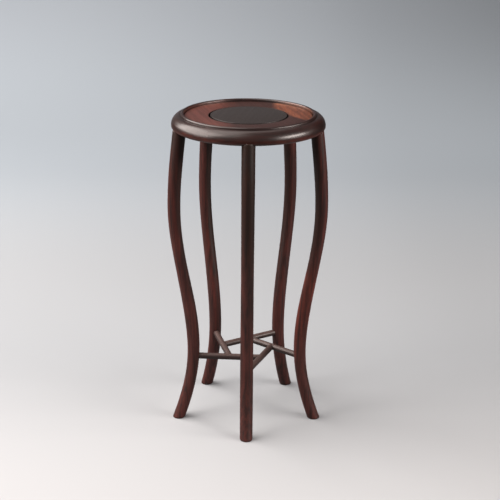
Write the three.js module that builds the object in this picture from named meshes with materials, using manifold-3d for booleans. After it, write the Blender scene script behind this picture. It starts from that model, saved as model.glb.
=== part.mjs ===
// A five-legged round display pedestal in dark hardwood, made to carry a vase.
//
// The top is framed: five curved rim segments, scarfed end to end and locked with square pins,
// hold the tongue of one floating board, and a dark disc lies in that board. Five bent legs are
// scribed to the rim's underside and tenoned into it. Low down, five round stretchers make a
// pinwheel: each leaves its own leg and ends in the side of the next stretcher.
//
// Millimetres, +Z up, origin on the floor in the middle of the footprint. The front leg points
// along -Y, and the places run anticlockwise as seen from above.

import * as THREE from 'three';
import { mergeVertices } from 'three/addons/utils/BufferGeometryUtils.js';
import Module from 'manifold-3d';

const wasm = await Module();
wasm.setup();

// The whole stand
const overallHeight = 450; // floor to the top of the rim's bead
const places = ['front', 'right_front', 'right_back', 'left_back', 'left_front'];
const frontAzimuth = -Math.PI / 2;
const step = (2 * Math.PI) / places.length;

// Clearances
const fit = 0.3; // round a tenon, and along every scribed or curved joint
const glueGap = 0.15; // between the butting ends of two rim segments
const overrun = 1; // how far a cutting tool reaches past the face it cuts

// Rim: a bead round the inside, a narrow groove, then the big rounded edge
const rimRadius = 107;
const rimWidth = 17.5; // from the inner edge of the bead to the outer edge
const rimThickness = 23;
const beadRadius = 2.2;
const grooveWidth = 0.9;
const grooveDepth = 0.6;
const noseDrop = 3.1; // the rounded edge's crown below the top of the bead
const noseLipHeight = 6.5; // the widest line of the rounded edge above the underside
const noseWidth = 12; // from the crown of the rounded edge out to its widest line
const noseFullness = 2.6; // of the lower half: 2 is an ellipse, more is squarer
const innerArrisWidth = 0.8; // the softened inner edge of the underside

// Board that floats in the rim
const boardDrop = 4; // the board's face below the top of the bead
const boardThickness = 10;
const boardPlay = 0.6; // room for the board to swell inside the rim
const boardChamferWidth = 1.2;
const tongueThickness = 3.5;
const tongueLength = 3.4;
const tongueRise = 3; // the tongue's lower face above the board's lower face

// Dark disc in the board
const discRadius = 52.9;
const discThickness = 5;
const discGap = 2.4; // shrinkage gap all round when the disc is centred
const discProud = 0.4;
const discChamferWidth = 0.6;
const discDrift = 0.7; // the loose disc has crept this far from the centre
const discDriftAzimuth = Math.PI / 3;

// Batten under the board, dovetailed into it and tenoned into the rim
const battenWidth = 15;
const battenDepth = 7.5;
const dovetailHeight = 2.5;
const dovetailNeck = 10;
const dovetailHead = 12.5;
const battenTenonWidth = 11;
const battenTenonThickness = 4.5;
const battenTenonLength = 5.5;
const battenTenonDrop = 1.5; // the tenon's top below the board

// Scarf joints of the rim
const scarfLength = 18; // along the middle of the rim
const scarfHeight = 8.5; // the lap's face above the underside
const pinSize = 4.2; // square, at its thick lower end
const pinTaper = 0.8; // how much thinner the pin is at its upper end
const pinLength = 15;
const pinClearance = 0.2;

// Legs: the centre line swings out at the foot, in at the waist and out at the belly
const footReach = 104.2;
const footSlope = -0.393; // how fast the centre line comes in as it leaves the floor
const waistHeight = 107.85;
const waistReach = 81;
const bellyHeight = 321.3;
const bellyOverhang = 0.8; // the belly's centre line outside the rim's outer edge
const topOffset = 0.35; // the top's centre line outside the middle of the rim's width
const topSlope = -0.121;
const legRise = 6; // how far the leg's outer side climbs past the rim's underside
const footArrisRadius = 1.6;
const topArrisRadius = 3;

// Thickness of the leg toward the middle of the stand, and its width across, up its length
const foot = { thick: 18, wide: 18.1 };
const ankle = { height: 62, thick: 16.8, wide: 18.5 };
const calf = { height: 160, thick: 18.3, wide: 18.1 };
const thigh = { height: 245, thick: 16.7, wide: 17.6 };
const hip = { height: 335, thick: 18, wide: 18 };
const shoulder = { height: 385, thick: 18.7, wide: 18.5 };

// Square tenon on top of each leg
const tenonSize = 7.5;
const tenonLength = 12;
const tenonOffset = 1.25; // the tenon's middle outside the middle of the rim's width

// Pinwheel of stretchers
const stretcherHeight = 95;
const stretcherRadius = 4.5;
const stretcherOffset = 30.6; // how far each stretcher passes from the middle of the stand
const legTenonRadius = 3.2;
const legTenonDepth = 8; // how far past the leg's centre-side face it goes in
const endTenonRadius = 2.4;

// Fineness of the curved faces
const ringSides = 60;
const legSides = 16;
const legSpans = 24;
const rodSides = 16;
const upperNoseSides = 8;
const lowerNoseSides = 6;
const beadSides = 4;
const weldDistance = 1e-4;

// Levels and radii that follow from the sizes above
const rimUnderside = overallHeight - rimThickness;
const noseCrown = overallHeight - noseDrop;
const rimInnerRadius = rimRadius - rimWidth;
const noseHeight = rimUnderside + noseLipHeight;
const crownRadius = rimRadius - noseWidth;
const boardTop = overallHeight - boardDrop;
const boardUnderside = boardTop - boardThickness;
const boardRadius = rimInnerRadius - boardPlay;
const tongueBottom = boardUnderside + tongueRise;
const tongueTop = tongueBottom + tongueThickness;
const tongueRadius = boardRadius + tongueLength;
const seatRadius = discRadius + discGap;
const seatFloor = boardTop + discProud - discThickness;
const legTop = rimUnderside + legRise;
const scarfLevel = rimUnderside + scarfHeight;
const rimMiddle = (rimRadius + rimInnerRadius) / 2;
const bellyReach = rimRadius + bellyOverhang;
const topReach = rimMiddle + topOffset;
const tenonReach = rimMiddle + tenonOffset;

/** A closed three.js geometry as a solid that can be joined and cut. */
function solid(geometry) {
  const bare = (geometry.index ? geometry : mergeVertices(geometry)).clone();
  bare.deleteAttribute('normal');
  bare.deleteAttribute('uv');
  const merged = mergeVertices(bare, weldDistance);
  return new wasm.Manifold(new wasm.Mesh({
    numProp: 3,
    vertProperties: new Float32Array(merged.attributes.position.array),
    triVerts: new Uint32Array(merged.index.array),
  }));
}

/** A solid back as a three.js geometry. */
function geometryOf(shape) {
  const mesh = shape.getMesh();
  const geometry = new THREE.BufferGeometry();
  geometry.setAttribute('position', new THREE.BufferAttribute(mesh.vertProperties, 3));
  geometry.setIndex(new THREE.BufferAttribute(mesh.triVerts, 1));
  geometry.computeVertexNormals();
  return geometry;
}

/** A copy of a solid turned about the stand's upright axis. */
function turned(shape, angle) {
  return shape.rotate([0, 0, THREE.MathUtils.radToDeg(angle)]);
}

/** A body turned about the upright axis from an outline of [radius, height] pairs. */
function revolved(outline) {
  const points = outline.map(([radius, height]) => new THREE.Vector2(radius, height));
  if (outline[0][0] > 0) points.push(points[0].clone());
  const geometry = new THREE.LatheGeometry(points, ringSides);
  return solid(geometry.rotateX(Math.PI / 2));
}

/** A block with its middle at x and y, standing from bottom to top. */
function block(width, depth, bottom, top, x = 0, y = 0) {
  const geometry = new THREE.BoxGeometry(width, depth, top - bottom);
  return solid(geometry.translate(x, y, (bottom + top) / 2));
}

/** A round rod between two distances along a line through start in a level direction. */
function rod(start, direction, from, to, radius) {
  const geometry = new THREE.CylinderGeometry(radius, radius, to - from, rodSides);
  geometry.rotateZ(-Math.PI / 2);
  geometry.rotateZ(Math.atan2(direction.y, direction.x));
  const middle = start.clone().addScaledVector(direction, (from + to) / 2);
  return solid(geometry.translate(middle.x, middle.y, middle.z));
}

/** Points on a quarter of a rounded curve from the top of its upright axis to its widest point. */
function quarter(centre, width, height, exponent, count) {
  return Array.from({ length: count + 1 }, (_, index) => {
    const angle = (index / count) * (Math.PI / 2);
    return [
      centre[0] + width * Math.sin(angle) ** (2 / exponent),
      centre[1] + height * Math.cos(angle) ** (2 / exponent),
    ];
  });
}

/** The lower half of the rim's rounded edge, from the underside out to the widest line. */
function lowerNose(growth = 0) {
  return quarter([crownRadius, noseHeight], noseWidth + growth, -noseLipHeight, noseFullness,
    lowerNoseSides);
}

/** The rim's section, anticlockwise from the inner corner of its underside. */
function rimOutline() {
  const beadCentre = [rimInnerRadius + beadRadius, overallHeight - beadRadius];
  const grooveRadius = rimInnerRadius + 2 * beadRadius + grooveWidth / 2;
  const noseStart = grooveRadius + grooveWidth / 2;
  const noseCentre = [crownRadius, noseHeight];
  const upperNose = quarter(noseCentre, noseWidth, noseCrown - noseHeight, 2, upperNoseSides)
    .filter(([radius]) => radius > noseStart + grooveWidth / 4)
    .reverse();
  const crownAt = (radius) => noseHeight
    + (noseCrown - noseHeight) * Math.sqrt(1 - ((radius - crownRadius) / noseWidth) ** 2);
  const outerBead = quarter(beadCentre, beadRadius, beadRadius, 2, beadSides).reverse();
  const innerBead = quarter(beadCentre, -beadRadius, beadRadius, 2, beadSides).slice(1);
  return [
    [rimInnerRadius, rimUnderside + innerArrisWidth],
    [rimInnerRadius + innerArrisWidth, rimUnderside],
    ...lowerNose().slice(0, -1),
    ...upperNose,
    [noseStart, crownAt(noseStart)],
    [grooveRadius, crownAt(noseStart) - grooveDepth],
    ...outerBead,
    ...innerBead,
    [rimInnerRadius, tongueTop + fit],
    [tongueRadius + fit, tongueTop + fit],
    [tongueRadius + fit, tongueBottom],
    [rimInnerRadius, tongueBottom],
  ];
}

/** The pie slice of space between two azimuths, from one level up to another. */
function sector(from, to, bottom, top) {
  const reach = rimRadius * 2;
  const shape = new THREE.Shape([new THREE.Vector2(0, 0)]);
  const corners = 3;
  for (let index = 0; index <= corners; index += 1) {
    const azimuth = from + ((to - from) * index) / corners;
    shape.lineTo(reach * Math.cos(azimuth), reach * Math.sin(azimuth));
  }
  const geometry = new THREE.ExtrudeGeometry(shape, { depth: top - bottom, bevelEnabled: false });
  return solid(geometry.translate(0, 0, bottom));
}

/** A locking pin, square and tapered upward, or the hole for it when grown. */
function scarfPin(growth = 0) {
  const corner = Math.SQRT1_2;
  const low = (pinSize + 2 * growth) * corner;
  const high = (pinSize - pinTaper + 2 * growth) * corner;
  const below = growth > 0 ? overrun : 0;
  const geometry = new THREE.CylinderGeometry(high, low, pinLength + growth + below, 4);
  geometry.rotateY(Math.PI / 4).rotateX(Math.PI / 2);
  return solid(geometry.translate(rimMiddle, 0, rimUnderside + (pinLength + growth - below) / 2));
}

/** The rim segment over the leg that points along +X, with its scarfs, mortise and pin holes. */
function rimSegment(ring) {
  const lap = scarfLength / 2 / rimMiddle;
  const glue = glueGap / 2 / rimMiddle;
  const half = step / 2;
  const upper = sector(-half + lap + glue, half + lap - glue, scarfLevel, overallHeight + overrun);
  const lower = sector(-half - lap + glue, half - lap - glue, rimUnderside - overrun, scarfLevel);
  const mortiseSize = tenonSize + 2 * fit;
  const mortise = block(mortiseSize, mortiseSize, rimUnderside - overrun,
    rimUnderside + tenonLength + fit, tenonReach);
  return ring
    .intersect(upper.add(lower))
    .subtract(mortise)
    .subtract(turned(scarfPin(pinClearance), half))
    .subtract(turned(scarfPin(pinClearance), -half));
}

/** The board: tongued round its edge, turned out for the disc and slotted for the batten. */
function boardSolid() {
  return revolved([
    [0, boardUnderside],
    [boardRadius, boardUnderside],
    [boardRadius, tongueBottom],
    [tongueRadius, tongueBottom],
    [tongueRadius, tongueTop],
    [boardRadius, tongueTop],
    [boardRadius, boardTop - boardChamferWidth],
    [boardRadius - boardChamferWidth, boardTop],
    [seatRadius + discChamferWidth, boardTop],
    [seatRadius, boardTop - discChamferWidth],
    [seatRadius, seatFloor],
    [0, seatFloor],
  ]).subtract(dovetail(2 * rimRadius, fit));
}

/** The dovetail along X on the batten's top, or its slot when grown. */
function dovetail(length, growth = 0) {
  const bottom = boardUnderside - (growth > 0 ? overrun : 0);
  const flare = (dovetailHead - dovetailNeck) / 2 / dovetailHeight;
  const neck = dovetailNeck / 2 + growth - (boardUnderside - bottom) * flare;
  const head = dovetailHead / 2 + growth * (1 + flare);
  const shape = new THREE.Shape([
    new THREE.Vector2(-neck, bottom),
    new THREE.Vector2(neck, bottom),
    new THREE.Vector2(head, boardUnderside + dovetailHeight + growth),
    new THREE.Vector2(-head, boardUnderside + dovetailHeight + growth),
  ]);
  const geometry = new THREE.ExtrudeGeometry(shape, { depth: length, bevelEnabled: false });
  geometry.translate(0, 0, -length / 2);
  return solid(geometry.rotateX(Math.PI / 2).rotateZ(Math.PI / 2));
}

/** The batten's two tenons as one bar through it, or their mortises when grown. */
function battenTenons(growth = 0) {
  const top = boardUnderside - battenTenonDrop;
  const length = 2 * (rimInnerRadius + battenTenonLength + growth);
  const bottom = top - battenTenonThickness;
  return block(length, battenTenonWidth + 2 * growth, bottom, top + growth);
}

/** The batten across the board's grain. */
function battenSolid() {
  const length = 2 * (Math.sqrt(rimInnerRadius ** 2 - (battenWidth / 2) ** 2) - fit);
  return block(length, battenWidth, boardUnderside - battenDepth, boardUnderside)
    .add(dovetail(length))
    .add(battenTenons());
}

/** The dark disc, its upper edge softened. */
function discSolid() {
  const top = seatFloor + discThickness;
  return revolved([
    [0, seatFloor],
    [discRadius, seatFloor],
    [discRadius, top - discChamferWidth],
    [discRadius - discChamferWidth, top],
    [0, top],
  ]);
}

/** A cubic between two heights that leaves and arrives at the given reaches and slopes. */
function cubicSpan(height, [lowHeight, lowReach, lowSlope], [highHeight, highReach, highSlope]) {
  const span = highHeight - lowHeight;
  const t = (height - lowHeight) / span;
  return (2 * t ** 3 - 3 * t ** 2 + 1) * lowReach + (t ** 3 - 2 * t ** 2 + t) * span * lowSlope
    + (3 * t ** 2 - 2 * t ** 3) * highReach + (t ** 3 - t ** 2) * span * highSlope;
}

/** How far the leg's centre line is from the stand's axis at a height. */
function legReach(height) {
  const stations = [
    [0, footReach, footSlope],
    [waistHeight, waistReach, 0],
    [bellyHeight, bellyReach, 0],
    [legTop, topReach, topSlope],
  ];
  const next = Math.max(1, stations.findIndex(([level]) => level >= height));
  return cubicSpan(height, stations[next - 1], stations[next]);
}

/** The leg's thickness and width at a height, blended smoothly between the named stations. */
function legSection(height) {
  const stations = [
    { height: 0, ...foot }, ankle, calf, thigh, hip, shoulder, { ...shoulder, height: legTop },
  ];
  const next = Math.max(1, stations.findIndex((station) => station.height >= height));
  const [low, high] = [stations[next - 1], stations[next]];
  const share = THREE.MathUtils.smoothstep(height, low.height, high.height);
  return {
    thick: THREE.MathUtils.lerp(low.thick, high.thick, share),
    wide: THREE.MathUtils.lerp(low.wide, high.wide, share),
  };
}

/** How much a softened edge of the given radius draws the surface in, near its end face. */
function roundedIn(distance, radius) {
  if (distance >= radius) return 0;
  return radius - Math.sqrt(radius ** 2 - (radius - distance) ** 2);
}

/** The bent shaft of a leg along +X, swelled and softened at both ends, or grown as a cutter. */
function legShaft(growth = 0) {
  const arrisSteps = [0, 0.15, 0.45, 1];
  const heights = [
    ...arrisSteps.map((share) => share * footArrisRadius),
    ...Array.from({ length: legSpans - 1 }, (_, index) => footArrisRadius
      + ((index + 1) / legSpans) * (legTop - topArrisRadius - footArrisRadius)),
    ...arrisSteps.map((share) => legTop - share * topArrisRadius).reverse(),
  ];
  const geometry = new THREE.CylinderGeometry(1, 1, 1, legSides, heights.length - 1);
  const position = geometry.attributes.position;
  for (let index = 0; index < position.count; index += 1) {
    const ring = Math.round((position.getY(index) + 0.5) * (heights.length - 1));
    const height = heights[ring];
    const { thick, wide } = legSection(height);
    const drawnIn = roundedIn(height, footArrisRadius) + roundedIn(legTop - height, topArrisRadius);
    position.setXYZ(
      index,
      legReach(height) + position.getZ(index) * (thick / 2 + growth - drawnIn),
      position.getX(index) * (wide / 2 + growth - drawnIn),
      height,
    );
  }
  return solid(geometry);
}

/** The space that the rim's rounded edge takes, with the scribing clearance on its curve. */
function scribe() {
  return revolved([
    [rimInnerRadius - overrun, rimUnderside],
    ...lowerNose(fit).slice(0, -1),
    [rimRadius + fit, noseHeight],
    [rimRadius + fit, legTop + overrun],
    [rimInnerRadius - overrun, legTop + overrun],
  ]);
}

/** Where the stretcher of the leg along +X runs: its start, its direction and its length. */
function stretcherLine() {
  const reach = legReach(stretcherHeight);
  const swing = Math.asin(stretcherOffset / reach);
  const start = new THREE.Vector3(reach, 0, stretcherHeight);
  const direction = new THREE.Vector3(-Math.cos(swing), Math.sin(swing), 0);
  const length = reach * Math.cos(swing) + stretcherOffset * Math.tan(step / 2);
  return { start, direction, length };
}

/** The tenon that holds a stretcher in its own leg, or its mortise when grown. */
function legTenon(growth = 0) {
  const { start, direction } = stretcherLine();
  const face = legSection(stretcherHeight).thick / 2;
  const from = face - legTenonDepth - growth;
  return rod(start, direction, from, face + stretcherRadius, legTenonRadius + growth);
}

/** The tenon that holds a stretcher in the side of the next one, or its mortise when grown. */
function endTenon(growth = 0) {
  const { start, direction, length } = stretcherLine();
  const from = length - 2 * stretcherRadius;
  return rod(start, direction, from, length + growth, endTenonRadius + growth);
}

/** The plain round body of a stretcher, from its leg's centre line to the next one's. */
function stretcherRod(growth = 0) {
  const { start, direction, length } = stretcherLine();
  return rod(start, direction, 0, length, stretcherRadius + growth);
}

/** One leg along +X: scribed to the rim, tenoned on top and bored for its stretcher. */
function legSolid() {
  const tenon = block(tenonSize, tenonSize, rimUnderside - overrun, rimUnderside + tenonLength,
    tenonReach);
  return legShaft()
    .subtract(scribe())
    .add(tenon)
    .subtract(legTenon(fit));
}

/** One stretcher: fitted round its leg and the next stretcher, and bored for the one before. */
function stretcherSolid() {
  return stretcherRod()
    .subtract(legShaft(fit))
    .subtract(turned(stretcherRod(fit), step))
    .add(legTenon())
    .add(endTenon())
    .subtract(turned(endTenon(fit), -step));
}

/** A mesh with its own finish. */
function piece(name, geometry, color, roughness) {
  const material = new THREE.MeshStandardMaterial({ color, roughness, metalness: 0 });
  const mesh = new THREE.Mesh(geometry, material);
  mesh.name = name;
  return mesh;
}

const stand = new THREE.Group();

const ring = revolved(rimOutline());
const battenMortises = battenTenons(fit);
const legGeometry = geometryOf(legSolid());
const stretcherGeometry = geometryOf(stretcherSolid());
const pinGeometry = geometryOf(scarfPin());

places.forEach((place, index) => {
  const azimuth = frontAzimuth + index * step;
  const mortises = turned(battenMortises, -azimuth);
  const segment = piece(`rim_segment_${place}`,
    geometryOf(rimSegment(ring).subtract(mortises)), 0x5a3a33, 0.38);
  const nextPlace = places[(index + 1) % places.length];
  const pin = piece(`rim_pin_${place}_to_${nextPlace}`, pinGeometry.clone(), 0x5b4130, 0.6);
  const leg = piece(`leg_${place}`, legGeometry.clone(), 0x4a2925, 0.45);
  const stretcher = piece(`stretcher_${place}`, stretcherGeometry.clone(), 0x5a443d, 0.5);
  segment.rotation.z = azimuth;
  pin.rotation.z = azimuth + step / 2;
  leg.rotation.z = azimuth;
  stretcher.rotation.z = azimuth;
  stand.add(segment, pin, leg, stretcher);
});

const board = piece('top_board', geometryOf(boardSolid()), 0x6d4640, 0.4);
const disc = piece('centre_disc', geometryOf(discSolid()), 0x484644, 0.42);
const batten = piece('board_batten', geometryOf(battenSolid()), 0x54372f, 0.65);
disc.position.set(discDrift, 0, 0).applyAxisAngle(new THREE.Vector3(0, 0, 1), discDriftAzimuth);
stand.add(board, disc, batten);

// With an odd number of legs the footprint's middle isn't the rim's axis, so the stand is moved
// until the middle of its footprint is at the origin.
const middle = new THREE.Box3().setFromObject(stand, true).getCenter(new THREE.Vector3());
stand.position.set(-middle.x, -middle.y, 0);

const part = new THREE.Group();
part.add(stand);

export default part;
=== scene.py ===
"""Looks for a five-legged hardwood vase pedestal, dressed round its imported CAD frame.

Lengths are in metres and every piece stays where the CAD model has it. The stand's axis goes
through the middle of the round top board, and the front leg points along -Y.
"""

import logging
import math
from collections.abc import Callable, Iterable, Mapping, Sequence
from dataclasses import dataclass
from enum import Enum

import bmesh
import bpy
from mathutils import Euler, Matrix, Vector


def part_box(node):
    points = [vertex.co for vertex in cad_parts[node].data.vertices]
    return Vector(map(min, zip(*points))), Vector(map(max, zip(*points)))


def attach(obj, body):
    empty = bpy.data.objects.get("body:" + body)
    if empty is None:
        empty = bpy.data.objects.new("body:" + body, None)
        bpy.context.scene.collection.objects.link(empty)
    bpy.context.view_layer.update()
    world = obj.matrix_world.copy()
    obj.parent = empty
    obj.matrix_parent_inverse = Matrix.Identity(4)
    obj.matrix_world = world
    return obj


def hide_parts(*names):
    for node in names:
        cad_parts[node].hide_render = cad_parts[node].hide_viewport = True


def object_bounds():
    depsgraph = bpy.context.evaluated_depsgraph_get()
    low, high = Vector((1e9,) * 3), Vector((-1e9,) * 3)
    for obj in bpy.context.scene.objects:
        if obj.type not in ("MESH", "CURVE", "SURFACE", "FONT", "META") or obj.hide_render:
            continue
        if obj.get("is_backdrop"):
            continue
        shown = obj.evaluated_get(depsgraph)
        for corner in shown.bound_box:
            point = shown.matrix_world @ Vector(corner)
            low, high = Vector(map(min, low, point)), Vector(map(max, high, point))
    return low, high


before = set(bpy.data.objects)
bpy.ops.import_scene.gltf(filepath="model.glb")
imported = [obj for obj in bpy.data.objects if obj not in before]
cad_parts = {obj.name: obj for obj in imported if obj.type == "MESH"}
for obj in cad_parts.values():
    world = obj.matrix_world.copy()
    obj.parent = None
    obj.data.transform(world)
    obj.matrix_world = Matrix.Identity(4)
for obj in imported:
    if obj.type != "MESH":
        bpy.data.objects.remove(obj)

log = logging.getLogger("pedestal")

MM = 0.001
PLACES = ("front", "right_front", "right_back", "left_back", "left_front")
STEP = math.tau / len(PLACES)
FRONT_AZIMUTH = -math.pi / 2
FIGURE_MASKS = ("Rings", "Streaks", "Fibres", "Pores", "Clouds")
SHADER_SAMPLES = 6
OVERRUN = 1 * MM
WELD_REACH = 0.001 * MM
KEPT_EDGE = 0.25 * MM
KEPT_EDGE_STEPS = 2

Point = tuple[float, float]
Color = tuple[float, float, float]
Socket = bpy.types.NodeSocket
Tree = bpy.types.NodeTree


class Field:
    """A number that travels through a node tree and is combined with plain arithmetic."""

    def __init__(self, bench: "Bench", socket: Socket) -> None:
        """Wraps an output socket.

        Args:
            bench: The bench of the tree that holds the socket.
            socket: The output that gives the number.
        """
        self.bench = bench
        self.socket = socket

    def math(self, operation: str, *others: "Field | float") -> "Field":
        """Feeds this number and others to a Math node.

        Args:
            operation: The Math node's operation.
            others: The further operands.

        Returns:
            The node's result.
        """
        operands = dict(enumerate((self, *others)))
        node = self.bench.add("ShaderNodeMath", operands, operation=operation)
        return Field(self.bench, node.outputs[0])

    def __add__(self, other: "Field | float") -> "Field":
        """The sum."""
        return self.math("ADD", other)

    def __sub__(self, other: "Field | float") -> "Field":
        """The difference."""
        return self.math("SUBTRACT", other)

    def __rsub__(self, other: float) -> "Field":
        """A plain number less this one."""
        return (self * -1.0) + other

    def __mul__(self, other: "Field | float") -> "Field":
        """The product."""
        return self.math("MULTIPLY", other)

    def __truediv__(self, other: "Field | float") -> "Field":
        """The quotient."""
        return self.math("DIVIDE", other)

    def __pow__(self, other: "Field | float") -> "Field":
        """The power."""
        return self.math("POWER", other)

    def ramp(self, low: float, high: float, to_low: float = 0.0, to_high: float = 1.0) -> "Field":
        """Eases from one value to another while this number goes from low to high.

        Args:
            low: Where the ease starts.
            high: Where it ends.
            to_low: The value before the start.
            to_high: The value past the end.

        Returns:
            The eased value.
        """
        node = self.bench.add(
            "ShaderNodeMapRange",
            {"Value": self, "From Min": low, "From Max": high, "To Min": to_low, "To Max": to_high},
            interpolation_type="SMOOTHSTEP",
        )
        return Field(self.bench, node.outputs["Result"])


class Bench:
    """Adds nodes to one tree and links them."""

    def __init__(self, tree: Tree) -> None:
        """Starts work on a tree.

        Args:
            tree: A geometry or shader node tree.
        """
        self.tree = tree

    def add(
        self, kind: str, inputs: Mapping[str | int, object] | None = None, **settings: object
    ) -> bpy.types.Node:
        """Adds a node.

        Args:
            kind: The node's type name.
            inputs: What goes to its inputs, by name or number: a value, an output or several.
            settings: The node's own properties.

        Returns:
            The new node.
        """
        node = self.tree.nodes.new(kind)
        for name, value in settings.items():
            setattr(node, name, value)
        for key, value in (inputs or {}).items():
            self.feed(node.inputs[key], value)
        return node

    def feed(self, socket: Socket, value: object) -> None:
        """Gives an input its value or its link.

        Args:
            socket: The input.
            value: A plain value, a Field, an output socket, or a list of outputs.
        """
        for source in value if isinstance(value, list) else [value]:
            if isinstance(source, Field):
                source = source.socket
            if isinstance(source, Socket):
                self.tree.links.new(source, socket)
            else:
                socket.default_value = source

    def field(self, node: bpy.types.Node, output: str | int = 0) -> Field:
        """An output of a node as a Field."""
        return Field(self, node.outputs[output])

    def split(self, vector: object) -> tuple[Field, Field, Field]:
        """The three parts of a vector output."""
        parts = self.add("ShaderNodeSeparateXYZ", {0: vector})
        return self.field(parts, 0), self.field(parts, 1), self.field(parts, 2)

    def joined(self, x: object, y: object, z: object) -> Socket:
        """A vector output made of three parts."""
        return self.add("ShaderNodeCombineXYZ", {0: x, 1: y, 2: z}).outputs[0]

    def scaled(self, vector: object, scale: Sequence[float]) -> Socket:
        """A vector output times a scale for each axis."""
        return self.add("ShaderNodeVectorMath", {0: vector, 1: scale}, operation="MULTIPLY").outputs[0]

    def noise(self, vector: object, detail: float, roughness: float = 0.5) -> Field:
        """Smooth noise with a period of about one unit, from 0 to 1.

        Args:
            vector: Where the noise is read.
            detail: How many finer layers it has.
            roughness: How strong each finer layer is.

        Returns:
            The noise.
        """
        node = self.add(
            "ShaderNodeTexNoise",
            {"Vector": vector, "Scale": 1.0, "Detail": detail, "Roughness": roughness},
        )
        return self.field(node, 0)

    def blend(self, share: object, base: object, over: object, mode: str = "MIX") -> Socket:
        """Mixes two colours.

        Args:
            share: How much of the second colour shows.
            base: The first colour.
            over: The second colour.
            mode: The Mix node's blending mode.

        Returns:
            The mixed colour.
        """
        colors = [(*value, 1.0) if isinstance(value, tuple) else value for value in (base, over)]
        node = self.add(
            "ShaderNodeMix", {0: share, 6: colors[0], 7: colors[1]}, data_type="RGBA", blend_type=mode
        )
        return node.outputs[2]


Tint = Callable[[Bench, Socket, Socket], Socket]


class Interface(Enum):
    """The kinds of socket that the node groups here have."""

    NUMBER = "NodeSocketFloat"
    VECTOR = "NodeSocketVector"
    MATERIAL = "NodeSocketMaterial"
    GEOMETRY = "NodeSocketGeometry"


def new_group(
    name: str,
    kind: str,
    inputs: Mapping[str, object],
    outputs: Mapping[str, Interface],
) -> tuple[Bench, dict[str, Field], bpy.types.Node]:
    """Starts a node group with named inputs and outputs.

    Args:
        name: The group's name.
        kind: GeometryNodeTree or ShaderNodeTree.
        inputs: Each input's default number, or its kind of socket.
        outputs: Each output's kind of socket.

    Returns:
        The bench of the group, its inputs as fields by name, and its output node.
    """
    tree = bpy.data.node_groups.new(name, kind)
    for label, value in inputs.items():
        given = value if isinstance(value, Interface) else Interface.NUMBER
        socket = tree.interface.new_socket(label, in_out="INPUT", socket_type=given.value)
        if not isinstance(value, Interface):
            socket.default_value = value
    for label, given in outputs.items():
        tree.interface.new_socket(label, in_out="OUTPUT", socket_type=given.value)
    bench = Bench(tree)
    entry = bench.add("NodeGroupInput")
    fields = {label: bench.field(entry, label) for label in inputs}
    return bench, fields, bench.add("NodeGroupOutput")


def grow(name: str, tree: Tree, values: Mapping[str, object]) -> bpy.types.Object:
    """Runs a geometry tree once and keeps its result as a plain mesh.

    Args:
        name: The new piece's name.
        tree: The geometry tree.
        values: The tree's inputs by name.

    Returns:
        The piece.
    """
    piece = bpy.data.objects.new(name, bpy.data.meshes.new(name))
    bpy.context.scene.collection.objects.link(piece)
    modifier = piece.modifiers.new("grow", "NODES")
    modifier.node_group = tree
    for item in tree.interface.items_tree:
        if item.in_out == "INPUT" and item.name in values:
            modifier[item.identifier] = values[item.name]
    return settled(piece)


def settled(piece: bpy.types.Object) -> bpy.types.Object:
    """Turns a piece's modifiers into plain mesh.

    Args:
        piece: The piece, with live modifiers.

    Returns:
        The same piece without them.
    """
    shown = piece.evaluated_get(bpy.context.evaluated_depsgraph_get())
    mesh = bpy.data.meshes.new_from_object(shown)
    piece.modifiers.clear()
    old = piece.data
    piece.data = mesh
    bpy.data.meshes.remove(old)
    return piece


def piece_from(name: str, vertices: Sequence[Vector], faces: Sequence[Sequence[int]]) -> bpy.types.Object:
    """A closed mesh whose faces point outwards.

    Args:
        name: The new piece's name.
        vertices: Its points.
        faces: The points of each face.

    Returns:
        The piece.
    """
    mesh = bpy.data.meshes.new(name)
    mesh.from_pydata(vertices, [], faces)
    work = bmesh.new()
    work.from_mesh(mesh)
    bmesh.ops.recalc_face_normals(work, faces=work.faces)
    work.to_mesh(mesh)
    work.free()
    piece = bpy.data.objects.new(name, mesh)
    bpy.context.scene.collection.objects.link(piece)
    return piece


def smoothed(piece: bpy.types.Object, degrees: float = 32.0) -> None:
    """Shades a piece smooth, but for its edges sharper than an angle.

    Args:
        piece: The piece.
        degrees: The angle between faces from which an edge stays sharp.
    """
    piece.data.shade_smooth()
    piece.data.set_sharp_from_angle(angle=math.radians(degrees))


def quarter(centre: Point, width: float, height: float, steps: int, fullness: float = 2.0) -> list[Point]:
    """Points on a quarter of a rounded curve, from its upright axis to its widest point.

    Args:
        centre: The middle of the curve.
        width: Its reach along the first axis, either way.
        height: Its reach along the second axis, either way.
        steps: How many chords it has.
        fullness: 2 gives an ellipse, more is squarer.

    Returns:
        The points.
    """
    points = []
    for index in range(steps + 1):
        angle = index / steps * math.pi / 2
        across = abs(math.sin(angle)) ** (2 / fullness)
        along = abs(math.cos(angle)) ** (2 / fullness)
        points.append((centre[0] + width * across, centre[1] + height * along))
    return points


def spaced(start: float, end: float, count: int) -> list[float]:
    """Evenly spaced values from a start up to, but without, an end.

    Args:
        start: The first value.
        end: Where the values stop.
        count: How many there are.

    Returns:
        The values.
    """
    return [start + (end - start) * index / count for index in range(count)]


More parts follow.
